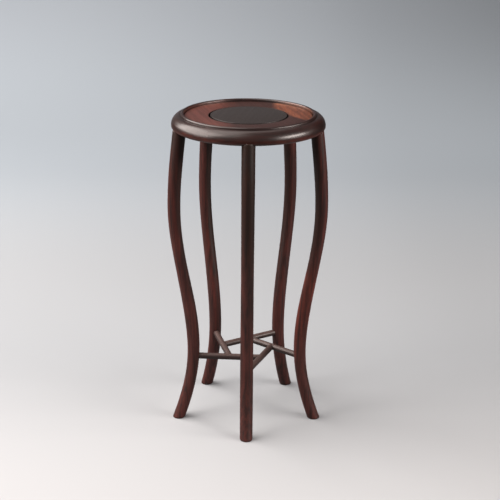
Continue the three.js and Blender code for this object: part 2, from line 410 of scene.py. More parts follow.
@dataclass(frozen=True)
class Layout:
    """Where the stand's axis is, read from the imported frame."""

    x: float
    y: float
    top: float

    @staticmethod
    def read() -> "Layout":
        """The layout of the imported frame."""
        low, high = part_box("top_board")
        return Layout((low.x + high.x) / 2, (low.y + high.y) / 2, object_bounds()[1].z)

    @property
    def axis(self) -> Vector:
        """The point of the axis on the floor."""
        return Vector((self.x, self.y, 0.0))

    def azimuth(self, index: float) -> float:
        """The direction of a place, counted from the front one."""
        return FRONT_AZIMUTH + index * STEP

    def at(self, radius: float, azimuth: float, height: float) -> Vector:
        """A point given by its distance from the axis, its direction and its height."""
        return Vector((self.x + radius * math.cos(azimuth), self.y + radius * math.sin(azimuth), height))

    def local(self, bench: Bench, place: Socket) -> tuple[Field, Field, Field, Field]:
        """A material's place as measured from the axis.

        Args:
            bench: The material's bench.
            place: The object coordinates.

        Returns:
            The distances along X and Y, the height, and the distance from the axis.
        """
        x, y, z = bench.split(place)
        x = x - self.x
        y = y - self.y
        return x, y, z, (x * x + y * y).math("SQRT")

    def turned(self, piece: bpy.types.Object, azimuth: float) -> bpy.types.Object:
        """Takes a piece made along X to a direction from the axis.

        Args:
            piece: The piece, made round the origin.
            azimuth: The direction.

        Returns:
            The same piece.
        """
        turn = Matrix.Rotation(azimuth, 4, "Z")
        piece.data.transform(Matrix.Translation(self.axis) @ turn)
        return piece

    def turned_body(self, name: str, outline: Sequence[Point], sides: int) -> bpy.types.Object:
        """A closed body turned about the axis.

        Args:
            name: The new piece's name.
            outline: Points of (radius, height) from one pole, or round a ring's section.
            sides: How many sides it has round the axis.

        Returns:
            The piece.
        """
        vertices: list[Vector] = []
        rows: list[list[int]] = []
        for radius, height in outline:
            count = 1 if radius == 0 else sides
            rows.append([len(vertices) + index % count for index in range(sides)])
            for index in range(count):
                vertices.append(self.at(radius, index * math.tau / sides, height))
        faces = []
        for low, high in zip(rows, rows[1:] + rows[:1]):
            for index in range(sides):
                following = (index + 1) % sides
                corners = [low[index], low[following], high[following], high[index]]
                corners = list(dict.fromkeys(corners))
                if len(corners) > 2:
                    faces.append(corners)
        return piece_from(name, vertices, faces)


def block(
    name: str, size: Sequence[float], centre: Sequence[float], taper: float = 0.0
) -> bpy.types.Object:
    """A block for cutting, narrower at its top by a taper on each side.

    Args:
        name: The new object's name.
        size: Its length, width and height.
        centre: Its middle.
        taper: How far its top is drawn in on each side.

    Returns:
        The block.
    """
    vertices = []
    for up in (-1, 1):
        inset = taper if up > 0 else 0.0
        for x, y in ((-1, -1), (1, -1), (1, 1), (-1, 1)):
            half = (size[0] / 2 - inset, size[1] / 2 - inset)
            vertices.append(Vector((x * half[0], y * half[1], up * size[2] / 2)) + Vector(centre))
    faces = [[3, 2, 1, 0], [4, 5, 6, 7]]
    faces += [[side, (side + 1) % 4, (side + 1) % 4 + 4, side + 4] for side in range(4)]
    return piece_from(name, vertices, faces)


def cut_away(piece: bpy.types.Object, cutters: Iterable[bpy.types.Object]) -> None:
    """Cuts closed shapes out of a piece and removes them.

    Args:
        piece: The piece that is cut.
        cutters: The shapes.
    """
    for cutter in list(cutters):
        modifier = piece.modifiers.new("cut", "BOOLEAN")
        modifier.operation = "DIFFERENCE"
        modifier.solver = "EXACT"
        modifier.object = cutter
        settled(piece)
        bpy.data.objects.remove(cutter)


@dataclass(frozen=True)
class Grain:
    """How a piece of wood was cut: which way its grain runs and where in the log it grew."""

    direction: Vector
    centre: Vector
    pith: Point
    shift: float

    def mapping(self) -> tuple[Vector, Euler]:
        """The place and turn of a Mapping node that puts the grain along Z.

        Returns:
            The node's location and rotation.
        """
        along = self.direction.normalized()
        helper = Vector((0, 0, 1)) if abs(along.z) < 0.8 else Vector((0, 1, 0))
        across = helper.cross(along).normalized()
        turn = Matrix((across, along.cross(across), along))
        moved = turn @ self.centre
        location = Vector((self.pith[0], self.pith[1], self.shift)) - moved
        return location, turn.to_euler("XYZ")


@dataclass(frozen=True)
class Timber:
    """Where in the log a row of like pieces grew, from the first piece on.

    The pith's place beside the first piece and its step to the next one are in whole millimetres.
    """

    pith: tuple[int, int]
    pith_step: tuple[int, int]
    shift_step: float

    def grain(self, direction: Vector, centre: Vector, index: int) -> Grain:
        """The grain of one of the pieces.

        Args:
            direction: Which way its grain runs.
            centre: Its middle.
            index: Its number in the row.

        Returns:
            The grain.
        """
        (x, y), (step_x, step_y) = self.pith, self.pith_step
        pith = ((x + step_x * index) * MM, (y + step_y * index) * MM)
        return Grain(direction, centre, pith, self.shift_step * index)


@dataclass(frozen=True)
class WoodFinish:
    """One kind of wood with its wax. Colours are linear."""

    heart: Color
    dark: Color
    pale: Color
    worn: Color
    ring_spacing: float = 3.4 * MM
    ring_share: float = 0.45
    streak_share: float = 0.6
    pore_share: float = 0.55
    roughness: float = 0.36
    specular: float = 0.4
    sheen: Color = (1.0, 0.88, 0.83)
    coat: float = 0.0
    coat_roughness: float = 0.22
    wear: float = 0.35
    # How strongly corners darken and roughen: gathered wax, with painted shade in the darkening.
    wax_and_shade: float = 0.6
    relief: float = 0.16


class WoodShop:
    """Builds the wood materials from shared node groups.

    A weight says how much a mask adds to the roughness or to the height of the surface.
    """

    ROUGHNESS_WEIGHTS = {"Fibres": 0.1, "Streaks": 0.05, "Pores": 0.18, "WaxAndShade": 0.2, "Rubbed": -0.08}
    RELIEF_WEIGHTS = {"Fibres": 0.5, "Rings": 0.12, "Pores": -0.8}
    USUAL_ROUGHENING = 0.05
    RELIEF_DEPTH = 0.25 * MM
    PALE_SHARE = 0.5
    WAX_SHADE = 0.25

    def __init__(self) -> None:
        """Makes the shared groups once."""
        self.figure = self.figure_group()
        self.edge_wear = self.edge_wear_group()
        self.wax_and_shade = self.wax_and_shade_group()

    def figure_group(self) -> Tree:
        """The figure of dense hardwood: rings, streaks, fibres and pores.

        Returns:
            The group. Its vector input has the grain along Z, in metres.
        """
        bench, given, out = new_group(
            "hardwood figure",
            "ShaderNodeTree",
            {"Vector": Interface.VECTOR, "Ring Spacing": 3.4 * MM},
            dict.fromkeys(FIGURE_MASKS, Interface.NUMBER),
        )
        sway_reach, ripple_reach, crowding = 16 * MM, 2.2 * MM, 0.22
        vector = given["Vector"].socket
        x, y, _ = bench.split(vector)
        sway = bench.noise(bench.scaled(vector, (22, 22, 5)), 2.0) - 0.5
        ripple = bench.noise(bench.scaled(vector, (90, 90, 14)), 2.0) - 0.5
        radius = (x * x + y * y).math("SQRT") + sway * sway_reach + ripple * ripple_reach
        phase = (radius / given["Ring Spacing"]).math("FRACT")
        rings = phase.ramp(0.0, 0.82) * phase.ramp(0.86, 1.0, 1.0, 0.0)
        bench.feed(out.inputs["Rings"], rings)
        streaks = bench.noise(bench.scaled(vector, (260, 260, 7)), 5.0, 0.62)
        bench.feed(out.inputs["Streaks"], streaks.ramp(0.34, 0.68))
        fibres = bench.noise(bench.scaled(vector, (1900, 1900, 42)), 3.0, 0.6)
        bench.feed(out.inputs["Fibres"], fibres)
        pores = bench.noise(bench.scaled(vector, (2600, 2600, 190)), 1.0)
        crowd = bench.noise(bench.scaled(vector, (120, 120, 18)), 2.0)
        bench.feed(out.inputs["Pores"], (pores + crowd * crowding).ramp(0.7, 0.8))
        clouds = bench.noise(bench.scaled(vector, (34, 34, 6)), 3.0)
        bench.feed(out.inputs["Clouds"], clouds.ramp(0.3, 0.7))
        return bench.tree

    def edge_wear_group(self) -> Tree:
        """Where handling has rubbed the edges.

        Returns:
            The group, with a mask that is 1 on a rubbed edge.
        """
        bench, given, out = new_group(
            "edge wear",
            "ShaderNodeTree",
            {"Vector": Interface.VECTOR, "Amount": 0.4},
            {"Mask": Interface.NUMBER},
        )
        edge_reach = 1.2 * MM
        rounded = bench.add("ShaderNodeBevel", {"Radius": edge_reach}, samples=SHADER_SAMPLES)
        plain = bench.add("ShaderNodeNewGeometry").outputs["Normal"]
        facing = bench.add(
            "ShaderNodeVectorMath", {0: rounded.outputs[0], 1: plain}, operation="DOT_PRODUCT"
        )
        bend = 1.0 - bench.field(facing, "Value")
        patches = bench.noise(bench.scaled(given["Vector"].socket, (160, 160, 60)), 3.0)
        mask = bend.ramp(0.01, 0.12) * patches.ramp(0.35, 0.65) * given["Amount"]
        bench.feed(out.inputs["Mask"], mask)
        return bench.tree

    def wax_and_shade_group(self) -> Tree:
        """Where old wax has gathered in corners and seams, with painted shade in them as well.

        Returns:
            The group, with a mask that is 1 in a tight corner.
        """
        bench, given, out = new_group(
            "gathered wax and shade",
            "ShaderNodeTree",
            {"Reach": 4 * MM, "Amount": 0.6},
            {"Mask": Interface.NUMBER},
        )
        hollow = bench.add(
            "ShaderNodeAmbientOcclusion", {"Distance": given["Reach"]}, samples=SHADER_SAMPLES
        )
        mask = bench.field(hollow, "AO").ramp(0.35, 0.95, 1.0, 0.0) * given["Amount"]
        bench.feed(out.inputs["Mask"], mask)
        return bench.tree

    def material(
        self,
        name: str,
        finish: WoodFinish,
        grain: Grain,
        tint: Tint | None = None,
    ) -> bpy.types.Material:
        """A waxed wood material for one piece.

        Args:
            name: The material's name.
            finish: Its colours and sheen.
            grain: How the piece was cut from the log.
            tint: Recolours the wood by place, given the bench, the object coordinates and the colour.

        Returns:
            The material.
        """
        material = bpy.data.materials.new(name)
        material.use_nodes = True
        bench = Bench(material.node_tree)
        bench.tree.nodes.clear()
        place = bench.add("ShaderNodeTexCoord").outputs["Object"]
        location, rotation = grain.mapping()
        mapped = bench.add(
            "ShaderNodeMapping", {"Vector": place, "Location": location, "Rotation": rotation}
        ).outputs[0]
        figure = self.placed(bench, self.figure, {"Vector": mapped, "Ring Spacing": finish.ring_spacing})
        masks = {label: bench.field(figure, label) for label in FIGURE_MASKS}
        rubbed = self.placed(bench, self.edge_wear, {"Vector": mapped, "Amount": finish.wear})
        masks["Rubbed"] = bench.field(rubbed)
        gathered = self.placed(bench, self.wax_and_shade, {"Amount": finish.wax_and_shade})
        masks["WaxAndShade"] = bench.field(gathered)
        ring_pallor = masks["Rings"] * finish.ring_share * self.PALE_SHARE
        color = bench.blend(masks["Clouds"] * self.PALE_SHARE + ring_pallor, finish.heart, finish.pale)
        if tint:
            color = tint(bench, place, color)
        color = bench.blend(masks["Streaks"] * finish.streak_share, color, finish.dark)
        color = bench.blend(masks["Pores"] * finish.pore_share, color, finish.dark)
        color = bench.blend(masks["Rubbed"], color, finish.worn)
        # Gathered wax and painted shade: the wood is darker where the occlusion mask is high.
        color = bench.blend(masks["WaxAndShade"], color, tuple(part * self.WAX_SHADE for part in finish.dark))
        roughening = self.weighted(masks, self.ROUGHNESS_WEIGHTS)
        bump = bench.add("ShaderNodeBump", {
            "Strength": finish.relief, "Distance": self.RELIEF_DEPTH,
            "Height": self.weighted(masks, self.RELIEF_WEIGHTS),
        })
        shader = bench.add(
            "ShaderNodeBsdfPrincipled",
            {
                "Base Color": color,
                "Roughness": roughening + (finish.roughness - self.USUAL_ROUGHENING),
                "Specular IOR Level": finish.specular,
                "Specular Tint": (*finish.sheen, 1.0),
                "Coat Weight": finish.coat,
                "Coat Roughness": finish.coat_roughness,
                "Normal": bump.outputs[0],
            },
        )
        bench.add("ShaderNodeOutputMaterial", {"Surface": shader.outputs[0]})
        return material

    def weighted(self, masks: Mapping[str, Field], weights: Mapping[str, float]) -> Field:
        """Adds masks up, each times its weight.

        Args:
            masks: The masks by name.
            weights: The weights by name.

        Returns:
            The sum.
        """
        first, *others = (masks[name] * weight for name, weight in weights.items())
        return sum(others, first)

    def placed(self, bench: Bench, group: Tree, inputs: Mapping[str, object]) -> bpy.types.Node:
        """Places a shared group in a material.

        Args:
            bench: The material's bench.
            group: The shared group.
            inputs: What its inputs get.

        Returns:
            The group node.
        """
        node = bench.add("ShaderNodeGroup", node_tree=group)
        for label, value in inputs.items():
            bench.feed(node.inputs[label], value)
        return node


class Stock(Enum):
    """The woods of the stand."""

    RIM = WoodFinish(
        heart=(0.025, 0.0095, 0.0083), dark=(0.008, 0.0045, 0.0042), pale=(0.058, 0.018, 0.0145),
        worn=(0.12, 0.055, 0.042), roughness=0.3, specular=0.7, sheen=(1.0, 0.93, 0.9), coat=0.4,
    )
    BOARD = WoodFinish(
        heart=(0.135, 0.045, 0.037), dark=(0.036, 0.016, 0.0145), pale=(0.19, 0.067, 0.052),
        worn=(0.24, 0.1, 0.07), ring_spacing=4.5 * MM, streak_share=0.45, roughness=0.38,
    )
    DISC = WoodFinish(
        heart=(0.026, 0.0185, 0.0168), dark=(0.011, 0.009, 0.0084), pale=(0.036, 0.025, 0.0225),
        worn=(0.04, 0.033, 0.03), streak_share=0.3, roughness=0.34, specular=0.95,
        sheen=(1.0, 0.92, 0.9), wear=0.15, relief=0.08,
    )
    LEG = WoodFinish(
        heart=(0.098, 0.026, 0.021), dark=(0.018, 0.0105, 0.009), pale=(0.18, 0.046, 0.036),
        worn=(0.2, 0.075, 0.055), streak_share=0.78, roughness=0.36, specular=0.52,
        sheen=(1.0, 0.97, 0.96),
    )
    STRETCHER = WoodFinish(
        heart=(0.046, 0.024, 0.021), dark=(0.016, 0.009, 0.008), pale=(0.088, 0.048, 0.041),
        worn=(0.26, 0.16, 0.12), roughness=0.4, specular=0.72, sheen=(1.0, 0.94, 0.92),
    )
    HIDDEN = WoodFinish(
        heart=(0.11, 0.06, 0.04), dark=(0.04, 0.02, 0.014), pale=(0.17, 0.1, 0.065),
        worn=(0.22, 0.13, 0.1), roughness=0.6, wear=0.1,
    )


def dressed(piece: bpy.types.Object, node: str, material: bpy.types.Material) -> None:
    """Finishes a piece that stands for a CAD node: its material, slot, body and node.

    Args:
        piece: The piece.
        node: The CAD node.
        material: The finish.
    """
    piece.data.materials.clear()
    piece.data.materials.append(material)
    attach(piece, "root")
    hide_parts(node)
    log.info("%s: %d faces, stands for %s", piece.name, len(piece.data.polygons), node)


@dataclass
class Rim:
    """The frame of the top: five curved segments with a bead, a groove and a big rounded edge.

    The groove's curve is given in groove widths from its middle and groove depths from its floor.
    """

    layout: Layout
    outer_radius: float = 107 * MM
    width: float = 17.5 * MM
    thickness: float = 23 * MM
    bead_radius: float = 2.2 * MM
    groove_width: float = 0.9 * MM
    groove_depth: float = 0.6 * MM
    nose_drop: float = 3.1 * MM
    nose_lip: float = 6.5 * MM
    nose_width: float = 12 * MM
    nose_fullness: float = 2.6
    inner_arris: float = 0.8 * MM
    tongue_bottom: float = 12 * MM
    tongue_height: float = 3.8 * MM
    tongue_depth: float = 3.1 * MM
    scarf_length: float = 18 * MM
    scarf_height: float = 8.5 * MM
    glue: float = 0.16 * MM
    joint_room: float = 0.3 * MM
    arris_bend: float = 0.3
    brow_reach: float = 0.75
    brow_drop: float = 0.12
    groove_curve: tuple[Point, ...] = ((0.35, 0.45), (0.0, 0.0), (-0.3, 0.2))
    columns: int = 44
    lap_columns: int = 8
    lip_steps: int = 12
    nose_steps: int = 18
    bead_steps: int = 9
    lip_color: Color = (0.13, 0.025, 0.0145)
    # Colours of the painted highlight on the bead's inner wall, orange at the back right.
    bead_wall_highlight: Color = (0.2, 0.066, 0.045)
    bead_wall_sap_highlight: Color = (0.34, 0.125, 0.07)
    bead_highlight_share: float = 0.6
    grain_climb: float = 0.06
    timber: Timber = Timber((40, 24), (13, -9), 0.37)

    @property
    def inner_radius(self) -> float:
        """The radius of the bead's inner edge."""
        return self.outer_radius - self.width

    @property
    def underside(self) -> float:
        """The height of the underside."""
        return self.layout.top - self.thickness

    @property
    def crown_radius(self) -> float:
        """Where the rounded edge starts to fall away."""
        return self.outer_radius - self.nose_width

    @property
    def nose_height(self) -> float:
        """The height of the widest line."""
        return self.underside + self.nose_lip

    @property
    def scarf_level(self) -> float:
        """The height of the laps between the segments."""
        return self.underside + self.scarf_height

    @property
    def middle(self) -> float:
        """The radius of the middle of the rim's width."""
        return (self.outer_radius + self.inner_radius) / 2

    def upper_nose(self, radius: float) -> float:
        """The height of the rounded edge's upper half at a radius."""
        share = min(1.0, max(0.0, (radius - self.crown_radius) / self.nose_width))
        return self.nose_height + self.nose_rise * math.sqrt(1 - share**2)

    @property
    def nose_rise(self) -> float:
        """How far the rounded edge's crown stands above its widest line."""
        return self.layout.top - self.nose_drop - self.nose_height

    def lower_section(self) -> list[Point]:
        """The section below the laps, from their inner end round to their outer end.

        Returns:
            Its points.
        """
        centre = (self.crown_radius, self.nose_height)
        rounded = quarter(centre, self.nose_width, -self.nose_lip, self.lip_steps, self.nose_fullness)
        bend = self.inner_arris * self.arris_bend
        rise = self.scarf_level - self.nose_height
        above = [
            (self.crown_radius + self.nose_width * math.sqrt(1 - (share * rise / self.nose_rise) ** 2),
             self.nose_height + share * rise)
            for share in (0.33, 0.67, 1.0)
        ]
        arris = [
            (self.inner_radius, self.underside + self.inner_arris),
            (self.inner_radius + bend, self.underside + bend),
            (self.inner_radius + self.inner_arris, self.underside),
        ]
        return [(self.inner_radius, self.scarf_level), *arris, *rounded, *above]

    def upper_section(self) -> list[Point]:
        """The section above the laps, from their outer end round to their inner end.

        Returns:
            Its points.
        """
        start = math.asin((self.scarf_level - self.nose_height) / self.nose_rise)
        groove = self.inner_radius + 2 * self.bead_radius + self.groove_width / 2
        brow = groove + self.groove_width * self.brow_reach
        nose = []
        for index in range(self.nose_steps + 1):
            angle = start + (math.pi / 2 - start) * index / self.nose_steps
            radius = self.crown_radius + self.nose_width * math.cos(angle)
            nose.append((radius, self.nose_height + self.nose_rise * math.sin(angle)))
        nose = [point for point in nose if point[0] > brow + self.groove_width / 4]
        floor = self.upper_nose(brow) - self.groove_depth
        hollow = [(brow, self.upper_nose(brow) - self.groove_depth * self.brow_drop)]
        for across, up in self.groove_curve:
            hollow.append((groove + self.groove_width * across, floor + self.groove_depth * up))
        bead = self.bead_radius
        bead_centre = (self.inner_radius + bead, self.layout.top - bead)
        outer = quarter(bead_centre, bead, bead, self.bead_steps)[::-1]
        inner = quarter(bead_centre, -bead, bead, self.bead_steps)[1:]
        tongue_low = self.underside + self.tongue_bottom
        tongue_high = tongue_low + self.tongue_height
        slot_radius = self.inner_radius + self.tongue_depth
        slot = [
            (self.inner_radius, tongue_high),
            (slot_radius, tongue_high),
            (slot_radius, tongue_low),
            (self.inner_radius, tongue_low),
        ]
        return [*nose, *hollow, *outer, *inner, *slot, (self.inner_radius, self.scarf_level)]

    def segment(self, name: str, azimuth: float) -> bpy.types.Object:
        """One segment, centred on a direction and stepped at both ends.

        Args:
            name: The new piece's name.
            azimuth: The direction of its middle.

        Returns:
            The segment, without mortises.
        """
        lap = self.scarf_length / 2 / self.middle
        seam = self.glue / 2 / self.middle
        half = STEP / 2
        low_span = (-half - lap + seam, half - lap - seam)
        high_span = (-half + lap + seam, half + lap - seam)
        inner_span = (high_span[0], low_span[1])
        angles = [
            *spaced(low_span[0], high_span[0], self.lap_columns),
            *spaced(*inner_span, self.columns),
            *spaced(low_span[1], high_span[1], self.lap_columns),
            high_span[1],
        ]
        vertices: list[Vector] = []
        known: dict[tuple[int, Point], int] = {}
        faces: list[list[int]] = []

        def corner(column: int, point: Point) -> int:
            """The number of a point of the section in a column, made when it is new.

            Args:
                column: The column.
                point: The point's radius and height.

            Returns:
                The number.
            """
            key = (column, (round(point[0], 7), round(point[1], 7)))
            if key not in known:
                known[key] = len(vertices)
                vertices.append(self.layout.at(point[0], azimuth + angles[column], point[1]))
            return known[key]

        rounding = 1e-9
        for section, span in ((self.lower_section(), low_span), (self.upper_section(), high_span)):
            first, last = angles.index(span[0]), angles.index(span[1])
            for column in range(first, last):
                sides = list(zip(section, section[1:]))
                if not inner_span[0] - rounding <= angles[column] < inner_span[1] - rounding:
                    sides.append((section[-1], section[0]))
                for start, end in sides:
                    faces.append([
                        corner(column, start), corner(column, end),
                        corner(column + 1, end), corner(column + 1, start),
                    ])
            faces.append([corner(first, point) for point in section])
            faces.append([corner(last, point) for point in reversed(section)])
        return piece_from(name, vertices, faces)

    def paint(self, bench: Bench, place: Socket, color: Socket) -> Socket:
        """Recolours the rim: a redder lower lip, and a painted highlight on the bead's inner wall.

        Args:
            bench: The material's bench.
            place: The object coordinates.
            color: The wood's colour so far.

        Returns:
            The new colour.
        """
        wobble = 9 * MM
        x, y, z, radius = self.layout.local(bench, place)
        wander = bench.noise(bench.scaled(place, (26, 26, 40)), 3.0) - 0.5
        below = wander * wobble - z + self.nose_height
        sides = x.math("ABSOLUTE").ramp(10 * MM, 80 * MM, 0.4, 0.9)
        color = bench.blend(below.ramp(-4 * MM, 2 * MM) * sides, color, self.lip_color)
        # A painted highlight on the bead's inner wall, at the back right and at the left.
        wall = radius.ramp(self.inner_radius + 0.1 * MM, self.inner_radius + 1.0 * MM, 1.0, 0.0)
        sap = x.ramp(36 * MM, 60 * MM) * y.ramp(0.0, 25 * MM)
        left = x.ramp(-50 * MM, -20 * MM, 1.0, 0.0)
        wall_highlight = bench.blend(sap, self.bead_wall_highlight, self.bead_wall_sap_highlight)
        return bench.blend(wall * (sap + left) * self.bead_highlight_share, color, wall_highlight)

    def build(self, shop: WoodShop, legs: "BentLegs", pins: "ScarfPins", batten: "Batten") -> None:
        """Builds and dresses the five segments.

        Args:
            shop: Makes the wood.
            legs: Gives the mortises of the legs' tenons.
            pins: Gives the holes of the pins.
            batten: Gives the mortises of the batten.
        """
        for index, place in enumerate(PLACES):
            azimuth = self.layout.azimuth(index)
            segment = self.segment(f"rim_{place}", azimuth)
            cut_away(segment, [
                legs.mortise(index),
                pins.hole(index + 0.5),
                pins.hole(index - 0.5),
                batten.mortises(),
            ])
            smoothed(segment)
            middle = self.layout.at(self.middle, azimuth, self.layout.top - self.thickness / 2)
            along = Vector((-math.sin(azimuth), math.cos(azimuth), self.grain_climb * (-1) ** index))
            grain = self.timber.grain(along, middle, index)
            dressed(segment, f"rim_segment_{place}",
                    shop.material(f"rim wood {place}", Stock.RIM.value, grain, self.paint))


@dataclass(frozen=True)
class LegLook:
    """How one leg's colour differs from the others, as seen from the front.

    The dark stripe is painted shade down one side of the leg, partly the wood's dark heart. It
    lies on the right where dark_side is 1 and on the left where it is -1, and it starts at
    dark_from beside the centre line. It has low_share of its strength up to fade_from and all of
    it near the top, under the rim. top_shadow is a painted shadow of the rim, which darkens the
    wood above top_shadow_from; dim darkens the whole leg, and blush reddens its lower middle.
    """

    dark_side: float
    dark_from: float
    dark_share: float
    low_share: float = 0.3
    top_shadow: float = 0.0
    top_shadow_from: float = 330 * MM
    fade_from: float = 110 * MM
    dim: float = 0.0
    blush: float = 0.0


LEG_LOOKS = (
    LegLook(1, -2.5 * MM, 0.6, low_share=0.15, top_shadow=0.75, top_shadow_from=245 * MM, dim=0.18),
    LegLook(-1, 0.5 * MM, 0.75, low_share=0.05, top_shadow=0.15, fade_from=205 * MM, blush=0.75),
    LegLook(-1, 1.5 * MM, 0.6, dim=0.05),
    LegLook(1, 3 * MM, 0.85, low_share=0.25),
    LegLook(1, 3.5 * MM, 0.6, top_shadow=0.7, top_shadow_from=350 * MM),
)


@dataclass
class BentLegs:
    """Five bent legs, each scribed to the rim's underside and tenoned into it."""

    layout: Layout
    rim: Rim
    foot_reach: float = 104.2 * MM
    foot_slope: float = -0.393
    waist_height: float = 107.85 * MM
    waist_reach: float = 81 * MM
    belly_height: float = 321.3 * MM
    belly_overhang: float = 0.8 * MM
    top_offset: float = 0.35 * MM
    top_slope: float = -0.121
    rise: float = 6 * MM
    foot_arris: float = 1.6 * MM
    top_arris: float = 3 * MM
    tenon_size: float = 7.5 * MM
    tenon_length: float = 12 * MM
    tenon_offset: float = 1.25 * MM
    seam: float = 0.12 * MM
    sections: tuple[tuple[float, float, float], ...] = (
        (0.0, 18 * MM, 18.1 * MM),
        (62 * MM, 16.8 * MM, 18.5 * MM),
        (160 * MM, 18.3 * MM, 18.1 * MM),
        (245 * MM, 16.7 * MM, 17.6 * MM),
        (335 * MM, 18 * MM, 18 * MM),
        (385 * MM, 18.7 * MM, 18.5 * MM),
    )
    slack: float = 0.02 * MM
    weld: float = 0.002 * MM
    sides: int = 48
    wall_rows: int = 150
    cap_rows: int = 12
    cap_closing: float = 0.98
    stripe_edge: float = 1.5 * MM
    stripe_top: float = 300 * MM
    top_shadow_fade: float = 90 * MM
    # Colours of the dimming and of the painted shade stripe, and of the rim's painted shadow on the top.
    dark_wood_and_shade: Color = (0.021, 0.0125, 0.0085)
    top_shadow_wood: Color = (0.025, 0.014, 0.0095)
    blush_wood: Color = (0.23, 0.042, 0.026)
    grain_lean: float = 0.03
    timber: Timber = Timber((26, 30), (11, -14), 0.61)

    @property
    def top(self) -> float:
        """The height of the leg's top."""
        return self.rim.underside + self.rise

    def thickness(self, height: float) -> float:
        """The leg's thickness toward the axis at a height.

        Args:
            height: The height above the floor.

        Returns:
            The thickness.
        """
        total = self.sections[0][1]
        for low, high in zip(self.sections, self.sections[1:]):
            share = min(1.0, max(0.0, (height - low[0]) / (high[0] - low[0])))
            total += (high[1] - low[1]) * share**2 * (3 - 2 * share)
        return total

    def mortise(self, index: int) -> bpy.types.Object:
        """The cutter of a leg's mortise in the rim.

        Args:
            index: The leg's place.

        Returns:
            The cutter.
        """
        room = self.rim.joint_room
        size = self.tenon_size + 2 * room
        height, centre = self.tenon_place(self.tenon_length + room)
        cutter = block("mortise", (size, size, height), centre)
        return self.layout.turned(cutter, self.layout.azimuth(index))

    def tenon_place(self, length: float) -> tuple[float, Vector]:
        """The height and the middle of a tenon's block, over the leg that points along X.

        Args:
            length: How far the block goes into the rim.

        Returns:
            Its height, overrun below the rim's underside included, and its middle.
        """
        height = length + OVERRUN
        level = self.rim.underside - OVERRUN + height / 2
        return height, Vector((self.rim.middle + self.tenon_offset, 0.0, level))

    def line_sizes(self) -> dict[str, float]:
        """The sizes of the centre line, as the inputs of a node group.

        Returns:
            The sizes by the inputs' names.
        """
        return {
            "Foot Reach": self.foot_reach,
            "Foot Slope": self.foot_slope,
            "Waist Height": self.waist_height,
            "Waist Reach": self.waist_reach,
            "Belly Height": self.belly_height,
            "Belly Reach": self.rim.outer_radius + self.belly_overhang,
            "Top Height": self.top,
            "Top Reach": self.rim.middle + self.top_offset,
            "Top Slope": self.top_slope,
        }

    def reach(self, height: Field, size: Mapping[str, Field]) -> Field:
        """How far the centre line is from the axis, as three cubic spans laid end to end.

        Args:
            height: The height above the floor.
            size: The tree's inputs.

        Returns:
            The reach.
        """
        zero = height * 0.0
        stations = (
            (zero, size["Foot Reach"], size["Foot Slope"]),
            (size["Waist Height"], size["Waist Reach"], zero),
            (size["Belly Height"], size["Belly Reach"], zero),
            (size["Top Height"], size["Top Reach"], size["Top Slope"]),
        )
        total = size["Waist Reach"] * -1.0 - size["Belly Reach"]
        for low, high in zip(stations, stations[1:]):
            span = high[0] - low[0]
            t = ((height - low[0]) / span).math("MAXIMUM", 0.0).math("MINIMUM", 1.0)
            t2 = t * t
            t3 = t2 * t
            total = (
                total
                + (t3 * 2.0 - t2 * 3.0 + 1.0) * low[1]
                + (t3 - t2 * 2.0 + t) * span * low[2]
                + (t2 * 3.0 - t3 * 2.0) * high[1]
                + (t3 - t2) * span * high[2]
            )
        return total

    def swelling(self, height: Field, column: int) -> Field:
        """The leg's thickness or width at a height, eased from station to station.

        Args:
            height: The height above the floor.
            column: 1 for the thickness, 2 for the width.

        Returns:
            The thickness or width.
        """
        total = height * 0.0 + self.sections[0][column]
        for low, high in zip(self.sections, self.sections[1:]):
            total = total + height.ramp(low[0], high[0], 0.0, high[column] - low[column])
        return total

    def scribed(self, x: Field, y: Field, size: Mapping[str, Field]) -> Field:
        """How high the leg may reach at a point, just under the rim's rounded lower half.

        Args:
            x: The point's place along X.
            y: Its place along Y.
            size: The tree's inputs.

        Returns:
            The height.
        """
        distance = (x * x + y * y).math("SQRT")
        share = (distance - size["Crown Radius"]) / (size["Nose Width"] + self.rim.joint_room)
        share = share.math("MAXIMUM", 0.0).math("MINIMUM", 1.0)
        fall = (1.0 - share**self.rim.nose_fullness) ** (1 / self.rim.nose_fullness)
        return size["Nose Height"] - size["Nose Lip"] * fall - self.seam

    def shaft_tree(self) -> Tree:
        """The geometry tree of the bent shaft, along X, scribed to the rim at its top.

        The wall stops where it meets the rim, and the last rows close the top along the rim's
        surface, so that the top is one sheet without a fold.

        Returns:
            The tree.
        """
        bench, size, out = new_group(
            "bent leg shaft",
            "GeometryNodeTree",
            {
                **self.line_sizes(),
                "Crown Radius": self.rim.crown_radius,
                "Nose Width": self.rim.nose_width,
                "Nose Height": self.rim.nose_height,
                "Nose Lip": self.rim.nose_lip,
                "Growth": -self.slack,
            },
            {"Geometry": Interface.GEOMETRY},
        )
        rows = self.wall_rows + self.cap_rows
        cylinder = bench.add(
            "GeometryNodeMeshCylinder",
            {"Vertices": self.sides, "Side Segments": rows, "Radius": 1.0, "Depth": 1.0},
        )
        across, aside, along = bench.split(bench.add("GeometryNodeInputPosition").outputs[0])
        run = (along + 0.5) * (rows / self.wall_rows)
        closing = (run - 1.0).math("MAXIMUM", 0.0) * (self.wall_rows / self.cap_rows * self.cap_closing)
        eased = 1.0 - (run.math("MINIMUM", 1.0) * math.pi).math("COSINE")
        height = size["Top Height"] * eased * 0.5
        below = size["Top Height"] - height
        drawn = self.arris(height, self.foot_arris) + self.arris(below, self.top_arris)
        underside = size["Nose Height"] - size["Nose Lip"]
        level = self.scribed(
            self.reach(underside, size) + across * (self.swelling(underside, 1) * 0.5),
            aside * (self.swelling(underside, 2) * 0.5),
            size,
        )
        held = height.math("MINIMUM", level)
        centre = self.reach(held, size)
        centre = centre + (size["Top Reach"] - centre) * closing
        open_share = 1.0 - closing
